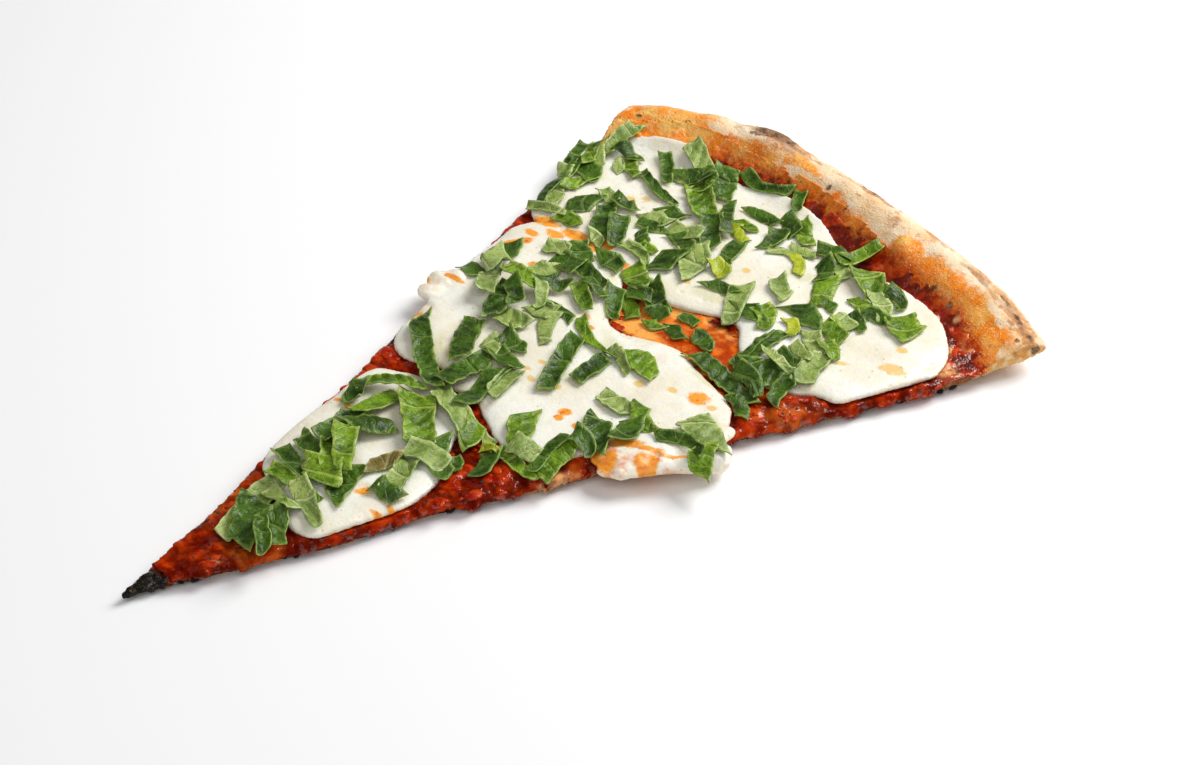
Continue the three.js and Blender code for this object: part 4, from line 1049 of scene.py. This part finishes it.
def made_thin(piece, tone, thickness):
    """Gives an open leaf its finishes, on its front, back and cut edge, and its real thickness."""
    for finish in (LEAVES[tone], leaf_back, leaf_edge):
        piece.data.materials.append(finish.material)
    faces_by_side = {"material_offset": 1, "material_offset_rim": 2}
    add_modifier(piece, "SOLIDIFY", thickness=thickness * MM, offset=-1, **faces_by_side)


# %% The larger shreds
# Painted shade: the shreds listed as dark get the dark tone for the shade that falls among the leaves; 5 and
# 19 get the bright tone.
SHADED = dict.fromkeys((2, 3, 4, 6, 7, 8, 17), "dark") | dict.fromkeys((5, 19), "bright")  # in another tone
leaf_names = sorted(name for name in frame["nodes"] if name.startswith("basil_"))
slots = {part["node"]: part["material_slot"] for part in frame["record"]["subparts"]}
leaves = []
for number, node in enumerate(leaf_names, 1):
    tone = slots[node].replace("basil_", "")
    leaf = leaf_from(node, number)
    made_thin(leaf, SHADED.get(number, tone), LEAF_THICKNESS)
    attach(leaf, "root")
    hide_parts(node)
    leaves.append(leaf)
print(len(leaves), "larger shreds,", sum(len(leaf.data.polygons) for leaf in leaves), "faces")

# %% [markdown]
# ## The smaller shreds
#
# More than a hundred small shreds lie between the larger ones. One flat strip is modelled as a small grid,
# and every shred is a copy of it: stretched, bent, turned, and laid on whatever is under it. To lay it, a
# ray is sent down at each of its points. Then a few rounds of easing let the strip bridge the hollows, as a
# stiff leaf does. All shreds of one tone become one piece.

# %% Taking a mesh apart and making a piece
def taken_apart(piece):
    """The points, faces and edges of a piece, which is then removed."""
    points = np.array([v.co[:] for v in piece.data.vertices])
    faces = [list(face.vertices) for face in piece.data.polygons]
    edges = np.array([list(edge.vertices) for edge in piece.data.edges])
    bpy.data.objects.remove(piece)
    return points, faces, edges


def piece_from(name, points, faces):
    """A smooth piece with its points at places on the slice."""
    mesh = bpy.data.meshes.new(name)
    mesh.from_pydata(((points + POINT) * MM).tolist(), [], faces)
    mesh.shade_smooth()
    piece = bpy.data.objects.new(name, mesh)
    bpy.context.scene.collection.objects.link(piece)
    return piece


# %% The strip that every small shred is a copy of
bpy.ops.object.select_all(action="DESELECT")
bpy.ops.mesh.primitive_grid_add(x_subdivisions=7, y_subdivisions=3, size=1)
strip_points, strip_faces, strip_pairs = taken_apart(bpy.context.object)
print("a strip of", len(strip_faces), "faces")

# %% Where the small shreds lie: tone, x, y, length, width, heading
D, B, P, L, O = LEAVES  # dark, bright, pale, lime and olive
SMALL_SHREDS = [
    (P, -2, 44.5, 9, 3, 0), (P, 5, 46, 13, 4, -18), (B, -3, 56.5, 8, 8, -40), (B, -4.5, 63.5, 14, 5, -40),
    (D, -20, 77.5, 7, 4, -60), (D, 9, 79, 11, 6, -27), (P, 9.5, 76, 9, 6, 20), (D, 11.5, 63.5, 6, 4.5, 10),
    (O, 5, 67, 7, 4, 60), (D, -8, 113, 9, 4.5, -10), (D, -2, 101, 14, 4.5, -72),
    (B, -1, 133.5, 18, 2.5, -14), (D, -14.5, 136.5, 9, 2.5, 0), (P, 8, 135, 6, 2, -20),
    (P, 11, 134, 6, 2, -20), (B, 30.5, 122, 9, 4, -30), (D, 32, 117, 8, 5, -60), (D, 28, 107.5, 7, 4, -10),
    (D, 26, 97, 12, 3, -75), (P, 20, 96, 6, 5, 20), (D, 20, 85, 8, 4, -60), (L, 17, 88.5, 5, 2, 10),
    (B, 11, 88, 8, 4, -65), (P, 13.5, 90, 5, 2.5, 0), (D, 16, 79, 5, 3, -45), (D, 43, 124, 13, 3, 8),
    (B, -63, 187, 8, 3.5, -60), (P, -60, 187.5, 6, 3, -40), (D, -57.5, 182, 9, 6, -20),
    (D, -62.5, 181, 10, 3, -55), (P, -61.4, 177, 7, 4, -45), (D, -57, 167, 13, 3, -68),
    (B, -55.5, 176, 7, 3.5, -85), (D, -57, 195.5, 6, 4, 0), (P, -58, 192.5, 6, 3, -50),
    (B, -51, 191, 8, 4, -30), (D, -47.5, 171, 8, 6, -70), (P, -51, 162, 10, 2, 20), (B, -44, 164, 6, 4, 0),
    (P, -45, 178, 6, 3, -20), (D, -40, 178, 7, 4, 10), (D, -31.5, 169, 11, 4.5, -48),
    (P, -33.5, 164, 4, 3, 0), (P, -35.5, 152.5, 6, 4.5, 20), (D, -28.5, 150, 8, 6, 0),
    (P, -30, 143.5, 7, 7, 30), (D, -42.5, 143.5, 6, 5, -45), (P, -40.5, 137, 8, 6, -75),
    (D, -42.5, 131, 6, 4, 0), (D, -27, 132, 8, 4, -30), (D, -22.5, 141, 6, 4, 20), (P, -24, 138, 8, 3, -50),
    (P, -18, 133, 6, 6, 10), (P, -12, 129, 12, 4, -50), (D, -12, 118.5, 8, 5, 0), (P, -14, 114, 6, 4, -20),
    (D, -22, 159, 7, 5, 10), (B, -13, 159, 10, 6, -25), (D, -15.5, 148.5, 7, 3, 0),
    (D, -7, 146.5, 10, 4, -45), (B, -5, 150, 8, 4, -20), (D, -6, 153.5, 7, 4, 10), (D, 2.5, 153, 4, 4, 0),
    (B, 4.5, 149.5, 4, 3, 0), (D, 8.5, 157.5, 5, 3, 0), (D, 10, 151, 6, 3.5, -20), (D, 18, 154, 7, 4, -15),
    (P, 36, 168, 8, 3, -15), (D, 36, 164, 8, 3, -15), (P, 35, 160.5, 9, 3, -15), (D, 35, 153, 10, 4, -15),
    (B, 40, 174, 8, 4, -30), (D, 42.5, 154.5, 8, 4, -80), (D, 42, 143, 7, 3, -20), (B, 35, 180, 8, 5, -20),
    (P, 34.5, 173.5, 8, 4, -30), (D, 26, 180, 9, 6, -20), (L, 27.5, 174, 7, 3, -40),
    (B, 21, 190, 10, 5.5, -55), (D, 26, 187, 5, 3, 0), (P, 13, 183, 8, 4, -30), (D, -6, 184, 9, 4, -65),
    (L, -2, 177.5, 6, 4, -20), (D, -13.5, 169.5, 8, 5.5, -75), (D, -17, 178.5, 8, 5, -20),
    (P, -20, 181, 9, 4, 10), (D, -25, 171.5, 7, 3, -30), (B, -21, 169.5, 5, 3, 0),
    (P, -21, 167, 10, 3, -10), (D, -28.5, 184.5, 6, 5, 0), (P, -29, 180, 6, 6, 0), (D, -28, 177, 7, 4, 20),
    (D, -17, 193, 13, 3, -45), (B, -12.5, 195.5, 6, 3.5, 0), (L, -11, 191.5, 7, 3, -25),
    (D, -40, 203, 6, 6, 0), (D, -45, 198, 11, 3, -40), (P, -38, 198, 6, 4, 0), (D, -33, 202, 7, 4, -30),
    (B, -32, 197.5, 5, 5, 0), (D, -23, 211, 14, 2.5, 8), (D, -12.5, 213, 6, 3, -50),
    (D, -13, 201.5, 9, 3, 0), (D, -5, 204, 8, 4, -30), (D, -3, 197, 9, 4, -65), (P, 4, 196, 11, 2.5, 35),
    (P, 5.5, 198.5, 7, 3, 10), (L, 8.5, 194, 8, 3, -35), (D, 12, 203, 8, 4, 25), (B, 18.5, 205, 11, 4, 80),
    (D, 15.5, 196.5, 7, 4, -50), (D, 36, 201, 7, 4, -20), (P, 36, 195.5, 10, 4, -35), (D, 37, 192, 7, 4, 0),
    (B, 31, 192.5, 6, 3, 0), (D, 36, 187.5, 7, 3, -25), (P, 34, 185, 6, 4, 0), (B, 44.5, 194, 8, 7, -20),
    (P, 10.5, 170.5, 13, 5, -55), (D, 16, 171, 7, 5, -20), (B, 20, 172, 9, 5, -40),
    (D, 3.5, 172.5, 7, 4, 10),
]
print(len(SMALL_SHREDS), "small shreds")


# %% Laying the small shreds
FULLER = 1.15  # a shred is a little larger than what shows of it
LEAF_GAP = 0.3  # between a shred and what it lies on
DEEPEST_DROP = 2.6  # how far a shred follows a hollow downwards
STEEPEST_STEP = 0.6  # from one point of a shred to the next


def laid_strip(tree, number, x, y, length, width, heading):
    """The points of one shred, lying on the slice, and where they were in the leaf."""
    pick = np.random.default_rng(500 + number)
    x, y = seen_at(x, y, height_at(tree, x, y) + 0.5)
    length, width = length * FULLER, width * FULLER
    along, across = strip_points[:, 0] * length, strip_points[:, 1] * width
    across = across * (1 - pick.uniform(0, 0.5) * (strip_points[:, 0] + 0.5) ** 2)
    across = across * (1 + 0.12 * np.sin(along * 1.7 + pick.uniform(0, 6)))
    along = along + across * pick.uniform(-0.8, 0.8) * np.abs(strip_points[:, 0]) * 2
    bend = math.radians(pick.uniform(-40, 40)) * strip_points[:, 0]
    turn = math.radians(heading) + bend
    flat_x = x + along * np.cos(turn) - across * np.sin(turn)
    flat_y = y + along * np.sin(turn) + across * np.cos(turn)
    floor = np.array([height_at(tree, a, b) for a, b in zip(flat_x, flat_y)]) + LEAF_GAP
    floor = np.maximum(floor, floor.max() - DEEPEST_DROP)
    rest = floor.copy()
    for _ in range(12):
        for a, b in (strip_pairs.T, strip_pairs.T[::-1]):
            np.maximum.at(rest, a, rest[b] - STEEPEST_STEP)
    curl = pick.uniform(-0.4, 1.0) * (2 * strip_points[:, 1]) ** 2
    curl += pick.uniform(-0.2, 0.9) * strip_points[:, 1]
    twist = pick.uniform(-0.9, 0.9) * 2 * strip_points[:, 0] * strip_points[:, 1]
    lift = curl + twist + pick.uniform(0, 0.4) * (2 * strip_points[:, 0]) ** 2
    lift += 0.15 * np.sin(along * 1.3 + pick.uniform(0, 6))
    rest = rest + lift - lift.min() * 0.7
    leaf_along, leaf_out = leaf_place(strip_points[:, 1] * width, strip_points[:, 0] * length, 300 + number)
    return np.stack([flat_x, flat_y, rest], 1), leaf_along, leaf_out


def small_leaves(tone):
    """All small shreds of one tone, as one piece."""
    tree = tree_of([dough, sauce, *pools, *leaves])
    spots = [(k, shred) for k, shred in enumerate(SMALL_SHREDS) if shred[0] == tone]
    laid = [laid_strip(tree, k, *shred[1:]) for k, shred in spots]
    at = np.concatenate([points for points, _, _ in laid])
    faces = [[k * len(strip_points) + i for i in face] for k in range(len(laid)) for face in strip_faces]
    piece = piece_from(f"small_leaves_{tone}", at, faces)
    write_leaf_map(piece, np.concatenate([a for _, a, _ in laid]), np.concatenate([o for _, _, o in laid]))
    add_modifier(piece, "SUBSURF", levels=1, render_levels=1, boundary_smooth="PRESERVE_CORNERS")
    still = points_of(piece)
    warp = np.stack([0.5 * bumps(still, 4.6, seed) for seed in (71, 72, 73)], 1) * (1, 1, 0.5)
    move_points(piece, still + warp + (0, 0, 0.1))
    write_border(piece)
    made_thin(piece, tone, SMALL_LEAF_THICKNESS)
    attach(piece, "root")
    return piece


for tone in LEAVES:
    piece = small_leaves(tone)
    print(piece.name, len(piece.data.polygons), "faces")

# %% [markdown]
# ## Bits in the sauce
#
# Bare sauce is full of small things: pulp, dark flecks of dried herb and, along the lower edge of the cut,
# crumbs that charred on the oven floor. Each kind is one lump that is modelled once, from an icosphere that
# is flattened and made uneven, and copied with a size and a turn of its own.

# %% Scattering lumps
STREWN_RADIUS = 226  # bits are strewn over nearly all of a wedge of this radius


def lump_shape(seed, flat):
    """The points and faces of one small uneven lump."""
    bpy.ops.object.select_all(action="DESELECT")
    bpy.ops.mesh.primitive_ico_sphere_add(subdivisions=2, radius=1)
    bpy.ops.object.mode_set(mode="EDIT")
    bpy.ops.transform.vertex_random(offset=0.16, seed=seed)
    bpy.ops.transform.resize(value=(1, 1, flat))
    bpy.ops.object.mode_set(mode="OBJECT")
    return taken_apart(bpy.context.object)[:2]


def scattered(name, spots, flat, finish, slot, seed):
    """Copies of one lump at spots (x, y, z, size), joined into one piece."""
    shape, shape_faces = lump_shape(seed, flat)
    pick = np.random.default_rng(seed)
    points, faces = [], []
    for k, (x, y, z, size) in enumerate(spots):
        turn = pick.uniform(0, 2 * math.pi)
        stretched = shape * (size / 2) * (pick.uniform(1.0, 1.7), pick.uniform(0.7, 1.0), 1)
        spun_x = stretched[:, 0] * math.cos(turn) - stretched[:, 1] * math.sin(turn)
        spun_y = stretched[:, 0] * math.sin(turn) + stretched[:, 1] * math.cos(turn)
        points.append(np.stack([spun_x + x, spun_y + y, stretched[:, 2] + z], 1))
        faces.extend([k * len(shape) + i for i in face] for face in shape_faces)
    dress(piece_from(name, np.concatenate(points), faces), None, slot, finish)


def off_lake(x, y):
    """Whether a spot is off the thin orange sauce between the pools, and off the stained rim."""
    return math.hypot((x - 12) / 22, (y - 153) / 9) > 1 and math.hypot(x, y) < 209


def bare_spots(count, sizes, sink, seed):
    """Random spots on thick sauce that nothing covers, each with a size in millimetres."""
    pick = np.random.default_rng(seed)
    spots = []
    while len(spots) < count:
        r = STREWN_RADIUS * math.sqrt(pick.uniform(0.004, 0.93))
        angle = math.radians(pick.uniform(-18.6, 19.2))
        x, y = r * math.sin(angle), r * math.cos(angle)
        size = pick.uniform(*sizes)
        top = height_at(everything, x, y)
        if abs(top - height_at(sauce_alone, x, y)) < 0.01 and top > 1 and off_lake(x, y):
            spots.append((x, y, top - sink * size, size))
    return spots


everything = tree_of([dough, sauce, *pools, *leaves])
sauce_alone = tree_of([sauce])

# %% Finishes of the bits
def bit_finish(name, roughness, dark, light, size, low, high, grain_size, grain_detail, depth):
    """A finish for small lumps: two colours in patches, and a grain."""
    finish = Finish(name, roughness)
    finish.drive("Base Color", finish.patched(dark, light, size, low, high))
    finish.relief(finish.clouds(grain_size, grain_detail), depth)
    return finish


pulp_bits = bit_finish("tomato_pulp", 0.24, "#941404", "#c8420a", 2.5, 0.35, 0.65, 1.2, 3, 0.4)
pulp_bits.set(Specular_IOR_Level=0.15, Subsurface_Weight=0.05, Subsurface_Scale=0.001)
flecks = bit_finish("dark_flecks", 0.6, "#1a0d08", "#3a1a10", 1.5, 0.4, 0.6, 0.5, 3, 0.15)
charcoal = bit_finish("charred_crumbs", 0.7, "#15100d", "#4a2412", 1.5, 0.45, 0.7, 0.6, 4, 0.2)
print("three finishes for the bits")

# %% Pulp, flecks and charred crumbs
scattered("tomato_pulp", bare_spots(64, (1.2, 4.0), 0.1, 21), 0.3, pulp_bits, "sauce", 21)
scattered("dark_flecks", bare_spots(60, (0.4, 1.2), 0.05, 22), 0.3, flecks, "sauce", 22)

CRUMBS = 34
OUTSIDE, REACH = 0.012, 0.03  # metres, from outside the cut to where a ray gives up
to_cut = -Vector(RIGHT_OUT)
crumb_spots = []  # more of them near the point
while len(crumb_spots) < CRUMBS:
    r, z = random.choice([random.uniform(5, 118), random.uniform(5, 212)]), random.uniform(0.6, 1.0)
    start = place(r * math.sin(LEAN), r * math.cos(LEAN), z) - to_cut * OUTSIDE
    met = everything.ray_cast(start, to_cut, REACH)[0]
    if met:
        x, y, z = np.array(met) / MM - POINT
        crumb_spots.append((x - 0.3, y + 0.1, z, random.uniform(0.8, 2.6)))
scattered("charred_crumbs", crumb_spots, 0.4, charcoal, "dough", 25)
